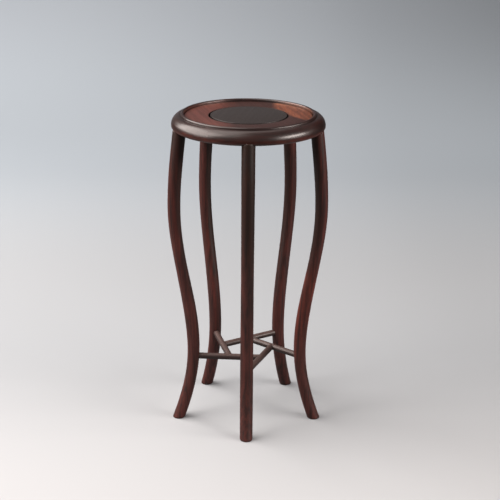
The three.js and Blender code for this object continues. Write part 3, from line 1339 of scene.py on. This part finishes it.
        x = centre + across * open_share * (self.swelling(held, 1) * 0.5 + size["Growth"] - drawn)
        y = aside * open_share * (self.swelling(held, 2) * 0.5 + size["Growth"] - drawn)
        z = height.math("MINIMUM", self.scribed(x, y, size))
        moved = bench.add(
            "GeometryNodeSetPosition",
            {"Geometry": cylinder.outputs["Mesh"], "Position": bench.joined(x, y, z)},
        )
        welded = bench.add(
            "GeometryNodeMergeByDistance", {"Geometry": moved.outputs[0], "Distance": self.weld}
        )
        bench.feed(out.inputs[0], welded.outputs[0])
        return bench.tree

    def arris(self, distance: Field, radius: float) -> Field:
        """How far a softened edge draws the surface in at a distance from the end face."""
        inside = (radius - distance).math("MAXIMUM", 0.0)
        return radius - (radius**2 - inside * inside).math("SQRT")

    def side_group(self) -> Tree:
        """How far a point of a leg's surface is to the right of the leg's centre line.

        Returns:
            The shader group. Right is along X, as seen from the front.
        """
        bench, given, out = new_group(
            "side of the leg",
            "ShaderNodeTree",
            {"Vector": Interface.VECTOR, "Azimuth": 0.0, **self.line_sizes()},
            {"Right": Interface.NUMBER},
        )
        x, _, z = bench.split(given["Vector"])
        centre = self.reach(z, given) * given["Azimuth"].math("COSINE") + self.layout.x
        bench.feed(out.inputs["Right"], x - centre)
        return bench.tree

    def paint(self, index: int, sides: Tree) -> Tint:
        """The recolouring of one leg: a redder length, dimming, a stripe of painted shade on one side,
        partly dark heartwood, and a painted shadow of the rim on its top.

        Args:
            index: The leg's place.
            sides: The group that tells the sides of a leg.

        Returns:
            The function that recolours the wood.
        """
        look = LEG_LOOKS[index]

        def recolored(bench: Bench, place: Socket, color: Socket) -> Socket:
            """Recolours the leg's wood by its look.

            Args:
                bench: The material's bench.
                place: The object coordinates.
                color: The wood's colour so far.

            Returns:
                The new colour.
            """
            node = bench.add("ShaderNodeGroup", {"Vector": place}, node_tree=sides)
            node.inputs["Azimuth"].default_value = self.layout.azimuth(index)
            _, _, z = bench.split(place)
            wander = bench.noise(bench.scaled(place, (70, 70, 12)), 3.0, 0.6) - 0.5
            across = bench.field(node, "Right") * look.dark_side + wander * (9 * MM)
            stripe = across.ramp(look.dark_from - self.stripe_edge, look.dark_from + self.stripe_edge)
            strength = z.ramp(look.fade_from, self.stripe_top, look.low_share, 1.0)
            level = z + wander * (40 * MM)
            blush = level.ramp(70 * MM, 170 * MM) * level.ramp(215 * MM, 250 * MM, 1.0, 0.0)
            color = bench.blend(blush * look.blush, color, self.blush_wood)
            color = bench.blend(look.dim, color, self.dark_wood_and_shade)
            # Painted shade down one side, partly dark heartwood, stronger toward the top.
            color = bench.blend(stripe * strength * look.dark_share, color, self.dark_wood_and_shade)
            # A painted shadow of the rim over the leg's top.
            top = (z + wander * (60 * MM)).ramp(look.top_shadow_from, look.top_shadow_from + self.top_shadow_fade)
            return bench.blend(top * look.top_shadow, color, self.top_shadow_wood)

        return recolored

    def build(self, shop: WoodShop, stretchers: "Stretchers") -> None:
        """Grows and dresses the five legs.

        Args:
            shop: Makes the wood.
            stretchers: Give the bore of each leg.
        """
        tree = stretchers.leg_tree
        sides = self.side_group()
        for index, place in enumerate(PLACES):
            azimuth = self.layout.azimuth(index)
            foot = self.layout.at(self.foot_reach, azimuth, 0.0)
            lean = self.grain_lean
            tilt = Vector((lean * math.cos(azimuth), lean * math.sin(azimuth), 1.0))
            grain = self.timber.grain(tilt, foot, index)
            material = shop.material(
                f"leg wood {place}", Stock.LEG.value, grain, self.paint(index, sides)
            )
            leg = grow(f"leg_{place}_turned", tree, {
                "Azimuth": azimuth, "Axis": self.layout.axis, "Finish": material,
            })
            smoothed(leg)
            dressed(leg, f"leg_{place}", material)


@dataclass
class Stretchers:
    """Five round stretchers that make a pinwheel, each ending in the side of the next."""

    layout: Layout
    legs: BentLegs
    height: float = 95 * MM
    radius: float = 4.5 * MM
    offset: float = 30.6 * MM
    leg_tenon_radius: float = 3.2 * MM
    leg_tenon_depth: float = 8 * MM
    end_tenon_radius: float = 2.4 * MM
    room: float = 0.25 * MM
    sides: int = 40
    # The paler colour on top, and the painted shade underneath.
    pale_top_wood: Color = (0.16, 0.1, 0.088)
    underside_shade: Color = (0.012, 0.0075, 0.007)
    timber: Timber = Timber((14, 9), (6, -4), 0.83)

    def __post_init__(self) -> None:
        """Makes the geometry trees once."""
        self.shaft_group = self.legs.shaft_tree()
        self.rod_group = self.rod_tree()
        self.leg_tree = self.bored_leg_tree()

    @property
    def leg_reach(self) -> float:
        """How far the legs' centre lines are from the axis at the stretchers' height.

        Returns:
            The distance.
        """
        legs = self.legs
        t = self.height / legs.waist_height
        return (
            (2 * t**3 - 3 * t**2 + 1) * legs.foot_reach
            + (t**3 - 2 * t**2 + t) * legs.waist_height * legs.foot_slope
            + (3 * t**2 - 2 * t**3) * legs.waist_reach
        )

    @property
    def swing(self) -> float:
        """The angle between a stretcher and the line from its leg to the axis."""
        return math.asin(self.offset / self.leg_reach)

    @property
    def length(self) -> float:
        """From the leg's centre line to the centre line of the next stretcher."""
        return self.leg_reach * math.cos(self.swing) + self.offset * math.tan(STEP / 2)

    @property
    def leg_face(self) -> float:
        """From the leg's centre line to its surface."""
        return self.legs.thickness(self.height) / 2

    def rod_tree(self) -> Tree:
        """The geometry tree of a rod between two distances along the stretcher of the leg on X.

        Returns:
            The tree.
        """
        bench, size, out = new_group(
            "stretcher rod",
            "GeometryNodeTree",
            {
                "From": 0.0,
                "To": self.length,
                "Radius": self.radius,
                "Leg Reach": self.leg_reach,
                "Height": self.height,
                "Swing": self.swing,
            },
            {"Geometry": Interface.GEOMETRY},
        )
        rod = bench.add("GeometryNodeMeshCylinder", {
            "Vertices": self.sides, "Side Segments": 1, "Radius": size["Radius"],
            "Depth": size["To"] - size["From"],
        })
        laid = bench.add("GeometryNodeTransform", {
            "Geometry": rod.outputs["Mesh"],
            "Rotation": Euler((0.0, math.pi / 2, 0.0)),
            "Translation": bench.joined((size["From"] + size["To"]) * 0.5, 0.0, 0.0),
        })
        turned = bench.add("GeometryNodeTransform", {
            "Geometry": laid.outputs[0],
            "Rotation": bench.joined(0.0, 0.0, math.pi - size["Swing"]),
            "Translation": bench.joined(size["Leg Reach"], 0.0, size["Height"]),
        })
        bench.feed(out.inputs[0], turned.outputs[0])
        return bench.tree

    def rod(self, bench: Bench, start: float, end: float, radius: float, turn: float = 0.0) -> Socket:
        """Places a rod in a tree, turned about the axis when it belongs to a neighbour.

        Args:
            bench: The tree's bench.
            start: Where it starts, from the leg's centre line.
            end: Where it ends.
            radius: Its radius.
            turn: The angle to the neighbour that it belongs to.

        Returns:
            The rod's output.
        """
        node = bench.add("GeometryNodeGroup", node_tree=self.rod_group)
        for label, value in {"From": start, "To": end, "Radius": radius}.items():
            node.inputs[label].default_value = value
        if not turn:
            return node.outputs[0]
        spun = bench.add("GeometryNodeTransform", {
            "Geometry": node.outputs[0], "Rotation": Euler((0.0, 0.0, turn)),
        })
        return spun.outputs[0]

    def boolean(self, bench: Bench, operation: str, base: Socket, others: list[Socket]) -> Socket:
        """Joins shapes to a base or cuts them out of it.

        Args:
            bench: The tree's bench.
            operation: UNION or DIFFERENCE.
            base: The base.
            others: The shapes.

        Returns:
            The result's output.
        """
        node = bench.add("GeometryNodeMeshBoolean", operation=operation, solver="EXACT")
        if operation == "DIFFERENCE":
            bench.feed(node.inputs[0], base)
            bench.feed(node.inputs[1], others)
        else:
            bench.feed(node.inputs[1], [base, *others])
        return node.outputs[0]

    def leg_tenon(self, bench: Bench, growth: float) -> Socket:
        """The tenon of a stretcher in its own leg, or its bore when grown."""
        start = self.leg_face - self.leg_tenon_depth - growth
        return self.rod(bench, start, self.leg_face + self.radius, self.leg_tenon_radius + growth)

    def finished(self, bench: Bench, shape: Socket, given: Mapping[str, Field], out: bpy.types.Node) -> None:
        """Turns a shape to its place, welds its doubled points and gives it its finish.

        Args:
            bench: The tree's bench.
            shape: The shape, over the leg that points along X.
            given: The tree's inputs.
            out: The tree's output node.
        """
        turned = bench.add("GeometryNodeTransform", {
            "Geometry": shape,
            "Rotation": bench.joined(0.0, 0.0, given["Azimuth"]),
            "Translation": given["Axis"],
        })
        real = bench.add("GeometryNodeRealizeInstances", {"Geometry": turned.outputs[0]})
        welded = bench.add("GeometryNodeMergeByDistance", {
            "Geometry": real.outputs[0], "Distance": self.legs.weld,
        })
        painted = bench.add("GeometryNodeSetMaterial", {
            "Geometry": welded.outputs[0], "Material": given["Finish"],
        })
        bench.feed(out.inputs[0], painted.outputs[0])

    def open_tree(self, name: str) -> tuple[Bench, dict[str, Field], bpy.types.Node]:
        """Starts the tree of a piece that is turned to its place.

        Args:
            name: The tree's name.

        Returns:
            The tree's bench, its inputs as fields by name, and its output node.
        """
        return new_group(
            name,
            "GeometryNodeTree",
            {"Azimuth": 0.0, "Axis": Interface.VECTOR, "Finish": Interface.MATERIAL},
            {"Geometry": Interface.GEOMETRY},
        )

    def bored_leg_tree(self) -> Tree:
        """The geometry tree of a whole leg: shaft, tenon and the bore for its stretcher.

        Returns:
            The tree.
        """
        bench, given, out = self.open_tree("leg")
        legs = self.legs
        shaft = bench.add("GeometryNodeGroup", node_tree=self.shaft_group).outputs[0]
        bored = self.boolean(bench, "DIFFERENCE", shaft, [self.leg_tenon(bench, self.room)])
        height, centre = legs.tenon_place(legs.tenon_length)
        cube = bench.add("GeometryNodeMeshCube", {
            "Size": (legs.tenon_size, legs.tenon_size, height),
        })
        tenon = bench.add("GeometryNodeTransform", {
            "Geometry": cube.outputs["Mesh"], "Translation": centre,
        })
        whole = self.boolean(bench, "UNION", bored, [tenon.outputs[0]])
        self.finished(bench, whole, given, out)
        return bench.tree

    def stretcher_tree(self) -> Tree:
        """The geometry tree of a stretcher, fitted round its leg and the next stretcher.

        Returns:
            The tree.
        """
        bench, given, out = self.open_tree("stretcher")
        body = self.rod(bench, 0.0, self.length, self.radius)
        shaft = bench.add("GeometryNodeGroup", node_tree=self.shaft_group)
        shaft.inputs["Growth"].default_value = self.room
        following = self.rod(bench, 0.0, self.length, self.radius + self.room, STEP)
        body = self.boolean(bench, "DIFFERENCE", body, [shaft.outputs[0], following])
        end_start = self.length - 2 * self.radius
        end_tenon = self.rod(bench, end_start, self.length, self.end_tenon_radius)
        body = self.boolean(bench, "UNION", body, [self.leg_tenon(bench, 0.0), end_tenon])
        bore = self.rod(
            bench, end_start, self.length + self.room, self.end_tenon_radius + self.room, -STEP
        )
        body = self.boolean(bench, "DIFFERENCE", body, [bore])
        self.finished(bench, body, given, out)
        return bench.tree

    def paint(self, bench: Bench, place: Socket, color: Socket) -> Socket:
        """Recolours a stretcher: paler on top, and painted shade below.

        Args:
            bench: The material's bench.
            place: The object coordinates.
            color: The wood's colour so far.

        Returns:
            The new colour.
        """
        above = bench.split(place)[2] - self.height
        pale_top = above.ramp(self.radius * 0.2, self.radius, 0.0, 0.7)
        # Painted shade on the underside.
        shade = above.ramp(-self.radius * 0.7, self.radius * 0.4, 0.75, 0.0)
        return bench.blend(shade, bench.blend(pale_top, color, self.pale_top_wood), self.underside_shade)

    def build(self, shop: WoodShop) -> None:
        """Grows and dresses the five stretchers.

        Args:
            shop: Makes the wood.
        """
        tree = self.stretcher_tree()
        for index, place in enumerate(PLACES):
            azimuth = self.layout.azimuth(index)
            heading = azimuth + math.pi - self.swing
            along = Vector((math.cos(heading), math.sin(heading), 0.0))
            start = self.layout.at(self.leg_reach, azimuth, self.height)
            grain = self.timber.grain(along, start, index)
            material = shop.material(
                f"stretcher wood {place}", Stock.STRETCHER.value, grain, self.paint
            )
            stretcher = grow(f"stretcher_{place}_rod", tree, {
                "Azimuth": azimuth, "Axis": self.layout.axis, "Finish": material,
            })
            smoothed(stretcher)
            dressed(stretcher, f"stretcher_{place}", material)


@dataclass
class ScarfPins:
    """Five square tapered pins that lock the rim's scarfs from below."""

    layout: Layout
    rim: Rim
    size: float = 4.2 * MM
    taper: float = 0.8 * MM
    length: float = 15 * MM
    room: float = 0.2 * MM
    timber: Timber = Timber((6, 3), (0, 0), 0.29)

    def hole(self, place: float) -> bpy.types.Object:
        """The cutter of a pin's hole.

        Args:
            place: Its place, counted from the front leg.

        Returns:
            The cutter.
        """
        size = self.size + 2 * self.room
        height = self.length + self.room + OVERRUN
        centre = (self.rim.middle, 0.0, self.rim.underside - OVERRUN + height / 2)
        cutter = block("pin hole", (size, size, height), centre, self.taper / 2)
        return self.layout.turned(cutter, self.layout.azimuth(place))

    def build(self, shop: WoodShop) -> None:
        """Dresses the pins' own CAD nodes.

        Args:
            shop: Makes the wood.
        """
        for index, place in enumerate(PLACES):
            node = f"rim_pin_{place}_to_{PLACES[(index + 1) % len(PLACES)]}"
            low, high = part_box(node)
            grain = self.timber.grain(Vector((0, 0, 1)), (low + high) / 2, index)
            keep_node(node, shop.material(f"pin wood {place}", Stock.HIDDEN.value, grain))


@dataclass
class Batten:
    """The batten under the board, dovetailed into it and tenoned into the rim."""

    layout: Layout
    rim: Rim
    tenon_width: float = 11 * MM
    tenon_thickness: float = 4.5 * MM
    tenon_length: float = 5.5 * MM
    tenon_drop: float = 1.5 * MM
    board_underside: float = 9 * MM
    room: float = 0.3 * MM

    def mortises(self) -> bpy.types.Object:
        """The cutter of both mortises in the rim, as one bar.

        Returns:
            The cutter.
        """
        top = self.rim.underside + self.board_underside - self.tenon_drop
        length = 2 * (self.rim.inner_radius + self.tenon_length + self.room)
        thickness = self.tenon_thickness + self.room
        centre = (self.layout.x, self.layout.y, top + self.room - thickness / 2)
        return block("batten mortises", (length, self.tenon_width + 2 * self.room, thickness), centre)

    def build(self, shop: WoodShop) -> None:
        """Dresses the batten's own CAD node.

        Args:
            shop: Makes the wood.
        """
        low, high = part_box("board_batten")
        grain = Grain(Vector((1, 0, 0)), (low + high) / 2, (31 * MM, 18 * MM), 0.4)
        keep_node("board_batten",
                  shop.material("batten wood", Stock.HIDDEN.value, grain))


def keep_node(node: str, material: bpy.types.Material) -> None:
    """Keeps a CAD node in view with a better finish and softened edges.

    Args:
        node: The CAD node.
        material: The finish.
    """
    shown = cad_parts[node]
    if not shown.material_slots:
        shown.data.materials.append(material)
    shown.material_slots[0].link = "OBJECT"
    shown.material_slots[0].material = material
    weld = shown.modifiers.new("weld", "WELD")
    weld.merge_threshold = WELD_REACH
    bevel = shown.modifiers.new("softened edges", "BEVEL")
    bevel.width = KEPT_EDGE
    bevel.segments = KEPT_EDGE_STEPS
    bevel.limit_method = "ANGLE"
    log.info("%s: CAD node kept", node)


@dataclass
class TopBoard:
    """The floating board inside the rim and the dark disc that lies in it."""

    layout: Layout
    rim: Rim
    drop: float = 4 * MM
    thickness: float = 10 * MM
    play: float = 0.6 * MM
    edge: float = 1.2 * MM
    tongue_rise: float = 3 * MM
    tongue_thickness: float = 3.5 * MM
    tongue_length: float = 3.4 * MM
    disc_radius: float = 52.9 * MM
    disc_thickness: float = 5 * MM
    disc_gap: float = 2.4 * MM
    disc_proud: float = 0.4 * MM
    disc_edge: float = 0.35 * MM
    slot_neck: float = 10 * MM
    slot_head: float = 12.5 * MM
    slot_height: float = 2.5 * MM
    room: float = 0.3 * MM
    sides: int = 180
    edge_steps: int = 4
    disc_edge_steps: int = 5
    middle_wood: Color = (0.032, 0.015, 0.013)
    middle_share: float = 0.82
    sapwood: Color = (0.285, 0.091, 0.046)
    flame_wood: Color = (0.185, 0.061, 0.035)
    sap_curve: float = 5.47
    sap_slope: float = 0.659
    sap_reach: float = 58.1 * MM
    sap_margin_highlight: Color = (0.55, 0.22, 0.12)
    left_wood: Color = (0.26, 0.062, 0.034)
    tinge_share: float = 0.45
    # Painted shade for the recess lip and for the gap round the disc.
    lip_color: Color = (0.012, 0.007, 0.006)
    gap_shade: Color = (0.003, 0.002, 0.002)

    @property
    def surface(self) -> float:
        """The height of the board's face."""
        return self.layout.top - self.drop

    @property
    def seat_radius(self) -> float:
        """The radius of the recess that the disc lies in."""
        return self.disc_radius + self.disc_gap

    def board(self) -> bpy.types.Object:
        """The board, tongued round its edge and turned out for the disc.

        Returns:
            The board.
        """
        under = self.surface - self.thickness
        radius = self.rim.inner_radius - self.play
        tongue_low = under + self.tongue_rise
        tongue_high = tongue_low + self.tongue_thickness
        seat = self.seat_radius
        floor = self.surface + self.disc_proud - self.disc_thickness
        edge, lip = self.edge, self.disc_edge
        outer = quarter((radius - edge, self.surface - edge), edge, edge, self.edge_steps)[::-1]
        inner = quarter((seat + lip, self.surface - lip), -lip, lip, self.edge_steps)
        return self.layout.turned_body("board", [
            (0.0, under),
            (radius, under),
            (radius, tongue_low),
            (radius + self.tongue_length, tongue_low),
            (radius + self.tongue_length, tongue_high),
            (radius, tongue_high),
            *outer,
            *inner,
            (seat, floor),
            (0.0, floor),
        ], self.sides)

    def slot(self) -> bpy.types.Object:
        """The cutter of the batten's dovetailed slot.

        Returns:
            The cutter.
        """
        under = self.surface - self.thickness
        flare = (self.slot_head - self.slot_neck) / 2 / self.slot_height
        neck = self.slot_neck / 2 + self.room - OVERRUN * flare
        head = self.slot_head / 2 + self.room * (1 + flare)
        length = 2 * self.rim.outer_radius
        height = self.slot_height + self.room + OVERRUN
        centre = (self.layout.x, self.layout.y, under - OVERRUN + height / 2)
        cutter = block("slot", (length, 2 * neck, height), centre)
        for vertex in cutter.data.vertices:
            if vertex.co.z > under:
                side = math.copysign(head, vertex.co.y - self.layout.y)
                vertex.co.y = self.layout.y + side
        return cutter

    def disc(self) -> bpy.types.Object:
        """The disc, moved to where the CAD model has it.

        Returns:
            The disc.
        """
        low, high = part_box("centre_disc")
        edge = self.disc_edge
        centre = (self.disc_radius - edge, high.z - edge)
        rounded = quarter(centre, edge, edge, self.disc_edge_steps)[::-1]
        outline = [(0.0, low.z), (self.disc_radius, low.z), *rounded, (0.0, high.z)]
        disc = self.layout.turned_body("disc", outline, self.sides)
        middle = (low + high) / 2
        disc.data.transform(Matrix.Translation((middle.x - self.layout.x, middle.y - self.layout.y, 0)))
        return disc

    def paint_sapwood(self, bench: Bench, place: Socket, color: Socket) -> Socket:
        """Recolours the board: a dark middle, and sapwood at the back right with a painted highlight
        along its edge by the rim.

        The back left is redder, and painted shade darkens the lip and the inside of the disc's recess.

        Args:
            bench: The material's bench.
            place: The object coordinates.
            color: The wood's colour so far.

        Returns:
            The new colour.
        """
        x, y, z, radius = self.layout.local(bench, place)
        depth = self.surface - z
        wander = bench.noise(bench.scaled(place, (34, 11, 11)), 3.0) - 0.5
        middle = (x + y * 0.16 + wander * (18 * MM)).ramp(-52 * MM, -22 * MM)
        color = bench.blend(middle * self.middle_share, color, self.middle_wood)
        border = y * y * self.sap_curve - y * self.sap_slope + self.sap_reach
        inward = x - border + wander * (12 * MM)
        flames = bench.noise(bench.scaled(place, (420, 46, 46)), 3.0, 0.6)
        sap = inward.ramp(-6 * MM, 4 * MM)
        pale = bench.blend(flames.ramp(0.35, 0.65), self.sapwood, self.flame_wood)
        color = bench.blend(sap, color, pale)
        rear = (y + wander * (10 * MM)).ramp(20 * MM, 60 * MM)
        # A painted highlight on the sapwood along the rim at the back.
        margin = radius.ramp(76 * MM, 84 * MM) * rear
        left = x.ramp(-45 * MM, -10 * MM, 1.0, 0.0) * rear
        color = bench.blend(margin * sap * self.tinge_share, color, self.sap_margin_highlight)
        color = bench.blend(left * self.tinge_share, color, self.left_wood)
        # Painted shade on the lip of the disc's recess, widening the dark gap.
        lip = radius.ramp(self.seat_radius + 0.3 * MM, self.seat_radius + 1.5 * MM, 0.6, 0.0)
        lip = lip * depth.ramp(0.6 * MM, 1.6 * MM, 1.0, 0.0)
        color = bench.blend(lip, color, self.lip_color)
        # Painted shade inside the recess, down the gap round the disc.
        inside = radius.ramp(self.seat_radius, self.seat_radius + self.disc_edge, 1.0, 0.0)
        above_floor = depth.ramp(self.disc_thickness, self.disc_thickness + 1 * MM, 1.0, 0.0)
        within = depth.ramp(0.2 * MM, 1.2 * MM) * above_floor
        return bench.blend(inside * within, color, self.gap_shade)

    def paint_disc(self, bench: Bench, place: Socket, color: Socket) -> Socket:
        """Paints shade on the disc's side, down in the gap.

        Args:
            bench: The material's bench.
            place: The object coordinates.
            color: The wood's colour so far.

        Returns:
            The new colour.
        """
        depth = self.surface + self.disc_proud - bench.split(place)[2]
        return bench.blend(depth.ramp(0.1 * MM, 0.4 * MM), color, self.gap_shade)

    def build(self, shop: WoodShop) -> None:
        """Builds and dresses the board and the disc.

        Args:
            shop: Makes the wood.
        """
        board = self.board()
        cut_away(board, [self.slot()])
        smoothed(board)
        tilt = math.radians(16)
        along = Vector((-math.sin(tilt), math.cos(tilt), 0.0))
        centre = Vector((self.layout.x, self.layout.y, self.surface))
        grain = Grain(along, centre, (70 * MM, 95 * MM), 0.0)
        material = shop.material("board wood", Stock.BOARD.value, grain, self.paint_sapwood)
        dressed(board, "top_board", material)
        disc = self.disc()
        smoothed(disc)
        grain = Grain(Vector((0.2, 1, 0)), centre, (-30 * MM, 60 * MM), 0.7)
        dressed(disc, "centre_disc",
                shop.material("disc wood", Stock.DISC.value, grain, self.paint_disc))


@dataclass(frozen=True)
class Softbox:
    """A softbox: its direction in degrees, its distance, width and height, and its power in watts."""

    name: str
    azimuth: float
    elevation: float
    distance: float
    size: Point
    power: float
    color: Color = (1.0, 0.93, 0.89)

    def hang(self, target: Vector) -> None:
        """Hangs the softbox so that it faces a point.

        Args:
            target: The point, from which its direction and distance are taken.
        """
        data = bpy.data.lights.new(self.name, "AREA")
        data.shape = "RECTANGLE"
        data.size, data.size_y = self.size
        data.energy = self.power
        data.color = self.color
        lamp = bpy.data.objects.new(self.name, data)
        bpy.context.scene.collection.objects.link(lamp)
        a, e = math.radians(self.azimuth), math.radians(self.elevation)
        away = Vector((math.cos(e) * math.cos(a), math.cos(e) * math.sin(a), math.sin(e)))
        turn = away.to_track_quat("Z", "Y").to_matrix().to_4x4()
        lamp.matrix_world = Matrix.Translation(target + away * self.distance) @ turn


SOFTBOXES = (
    Softbox("left softbox", 176, 35, 1.8, (2.4, 1.5), 56),
    Softbox("upper softbox", 170, 72, 1.9, (1.5, 1.0), 9),
    Softbox("front softbox", 236, 52, 2.0, (0.9, 1.2), 4),
    Softbox("right softbox", -20, 21, 2.2, (1.5, 0.5), 31),
    Softbox("back softbox", 95, 60, 2.4, (1.4, 1.2), 3),
)


@dataclass
class Studio:
    """The camera, the lamps and a pale sweep that is floor and backdrop in one."""

    layout: Layout
    camera_place: tuple[float, float, float] = (3.715 * MM, -1667.3 * MM, 825.4 * MM)
    pitch: float = 19.075
    yaw: float = -0.32
    roll: float = 0.5
    lens: float = 88.61
    lamp_aim: float = 0.6
    half_width: float = 9.0
    front: float = -11.0
    bend: float = 1.3
    bend_radius: float = 1.5
    wall: float = 2.6
    bend_steps: int = 24
    near_paper: Color = (0.635, 0.645, 0.66)
    floor_paper: Color = (0.49, 0.515, 0.54)
    back_paper: Color = (0.545, 0.61, 0.67)
    wall_paper: Color = (0.48, 0.53, 0.585)
    dark_room: Color = (0.03, 0.03, 0.03)

    def camera(self) -> None:
        """Sets up the camera at the photograph's viewing angle."""
        data = bpy.data.cameras.new("camera")
        data.lens = self.lens
        data.sensor_width = 36.0
        data.clip_end = 50.0
        camera = bpy.data.objects.new("camera", data)
        bpy.context.scene.collection.objects.link(camera)
        yaw = Matrix.Rotation(math.radians(self.yaw), 4, "Z")
        tilt = Matrix.Rotation(math.radians(90 - self.pitch), 4, "X")
        roll = Matrix.Rotation(math.radians(self.roll), 4, "Z")
        place = self.layout.axis + yaw @ Vector(self.camera_place)
        camera.matrix_world = Matrix.Translation(place) @ yaw @ tilt @ roll
        bpy.context.scene.camera = camera

    def sweep(self) -> None:
        """The floor that curves up into the backdrop."""
        radius = self.bend_radius
        outline = [(self.front, 0.0)]
        for index in range(self.bend_steps + 1):
            angle = index / self.bend_steps * math.pi / 2
            outline.append((self.bend + radius * math.sin(angle), radius * (1 - math.cos(angle))))
        outline.append((self.bend + radius, self.wall))
        vertices = [Vector((side * self.half_width, y, z)) for y, z in outline for side in (-1, 1)]
        faces = [[2 * row, 2 * row + 1, 2 * row + 3, 2 * row + 2] for row in range(len(outline) - 1)]
        mesh = bpy.data.meshes.new("sweep")
        mesh.from_pydata(vertices, [], faces)
        mesh.shade_smooth()
        sweep = bpy.data.objects.new("sweep", mesh)
        bpy.context.scene.collection.objects.link(sweep)
        sweep.data.materials.append(self.paper())
        sweep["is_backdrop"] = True

    def paper(self) -> bpy.types.Material:
        """The sweep's pale paper, bluer toward the back, with painted shade and light: darker away
        from the front, at the back right, up the wall and to the right, lighter at the back left.

        Only camera rays see all of it. Other rays see a dimmed sheet round and behind the stand,
        with its floor dimmer still in reflections, and a dark room beyond the sheet.

        Returns:
            The material.
        """
        material = bpy.data.materials.new("backdrop paper")
        material.use_nodes = True
        bench = Bench(material.node_tree)
        bench.tree.nodes.clear()
        x, y, z = bench.split(bench.add("ShaderNodeTexCoord").outputs["Object"])
        color = bench.blend(y.ramp(0.5, 1.5), self.floor_paper, self.back_paper)
        color = bench.blend(y.ramp(1.8, 2.4), color, self.wall_paper)
        color = bench.blend(y.ramp(-0.35, 0.25, 1.0, 0.0), color, self.near_paper)
        # Painted shade and light: darker at the back right and lighter at the back left, darker up the wall
        # and to the right.
        slant = x.math("MAXIMUM", -1.5).math("MINIMUM", 1.5) * y.ramp(1.5, 2.3)
        color = bench.blend(1.0, color, 1.0 - slant * 0.36, "MULTIPLY")
        color = bench.blend(1.0, color, z.ramp(0.4, 1.3, 1.0, 0.8), "MULTIPLY")
        color = bench.blend(1.0, color, x.ramp(0.15, 0.45, 1.0, 0.94), "MULTIPLY")
        path = bench.add("ShaderNodeLightPath")
        mirrored = bench.field(path, "Is Glossy Ray")
        sheet = y.ramp(-0.75, -0.35) * x.ramp(-1.3, -0.8) * x.ramp(0.8, 1.3, 1.0, 0.0)
        share = 0.5 - mirrored * z.ramp(0.05, 0.4, 0.27, 0.0)
        shown = (sheet * share).math("MAXIMUM", bench.field(path, "Is Camera Ray"))
        color = bench.blend(shown, self.dark_room, color)
        shader = bench.add("ShaderNodeBsdfPrincipled", {
            "Base Color": color, "Roughness": 0.9, "Specular IOR Level": 0.1,
        })
        bench.add("ShaderNodeOutputMaterial", {"Surface": shader.outputs[0]})
        return material

    def world(self) -> None:
        """A plain grey room."""
        world = bpy.data.worlds.new("room")
        world.use_nodes = True
        background = world.node_tree.nodes["Background"]
        background.inputs["Color"].default_value = (1.0, 0.96, 0.94, 1.0)
        background.inputs["Strength"].default_value = 0.15
        bpy.context.scene.world = world

    def build(self) -> None:
        """Sets up the whole studio."""
        bpy.context.scene.view_settings.view_transform = "Standard"
        self.camera()
        self.world()
        self.sweep()
        target = Vector((self.layout.x, self.layout.y, self.layout.top * self.lamp_aim))
        for softbox in SOFTBOXES:
            softbox.hang(target)
        log.info("studio: camera, %d softboxes and a paper sweep", len(SOFTBOXES))


def main() -> None:
    """Builds the studio and every piece of the stand."""
    logging.basicConfig(level=logging.INFO, format="%(message)s")
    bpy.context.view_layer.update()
    layout = Layout.read()
    Studio(layout).build()
    shop = WoodShop()
    rim = Rim(layout)
    legs = BentLegs(layout, rim)
    stretchers = Stretchers(layout, legs)
    pins = ScarfPins(layout, rim)
    batten = Batten(layout, rim)
    rim.build(shop, legs, pins, batten)
    TopBoard(layout, rim).build(shop)
    legs.build(shop, stretchers)
    stretchers.build(shop)
    pins.build(shop)
    batten.build(shop)


if __name__ == "__main__":
    main()
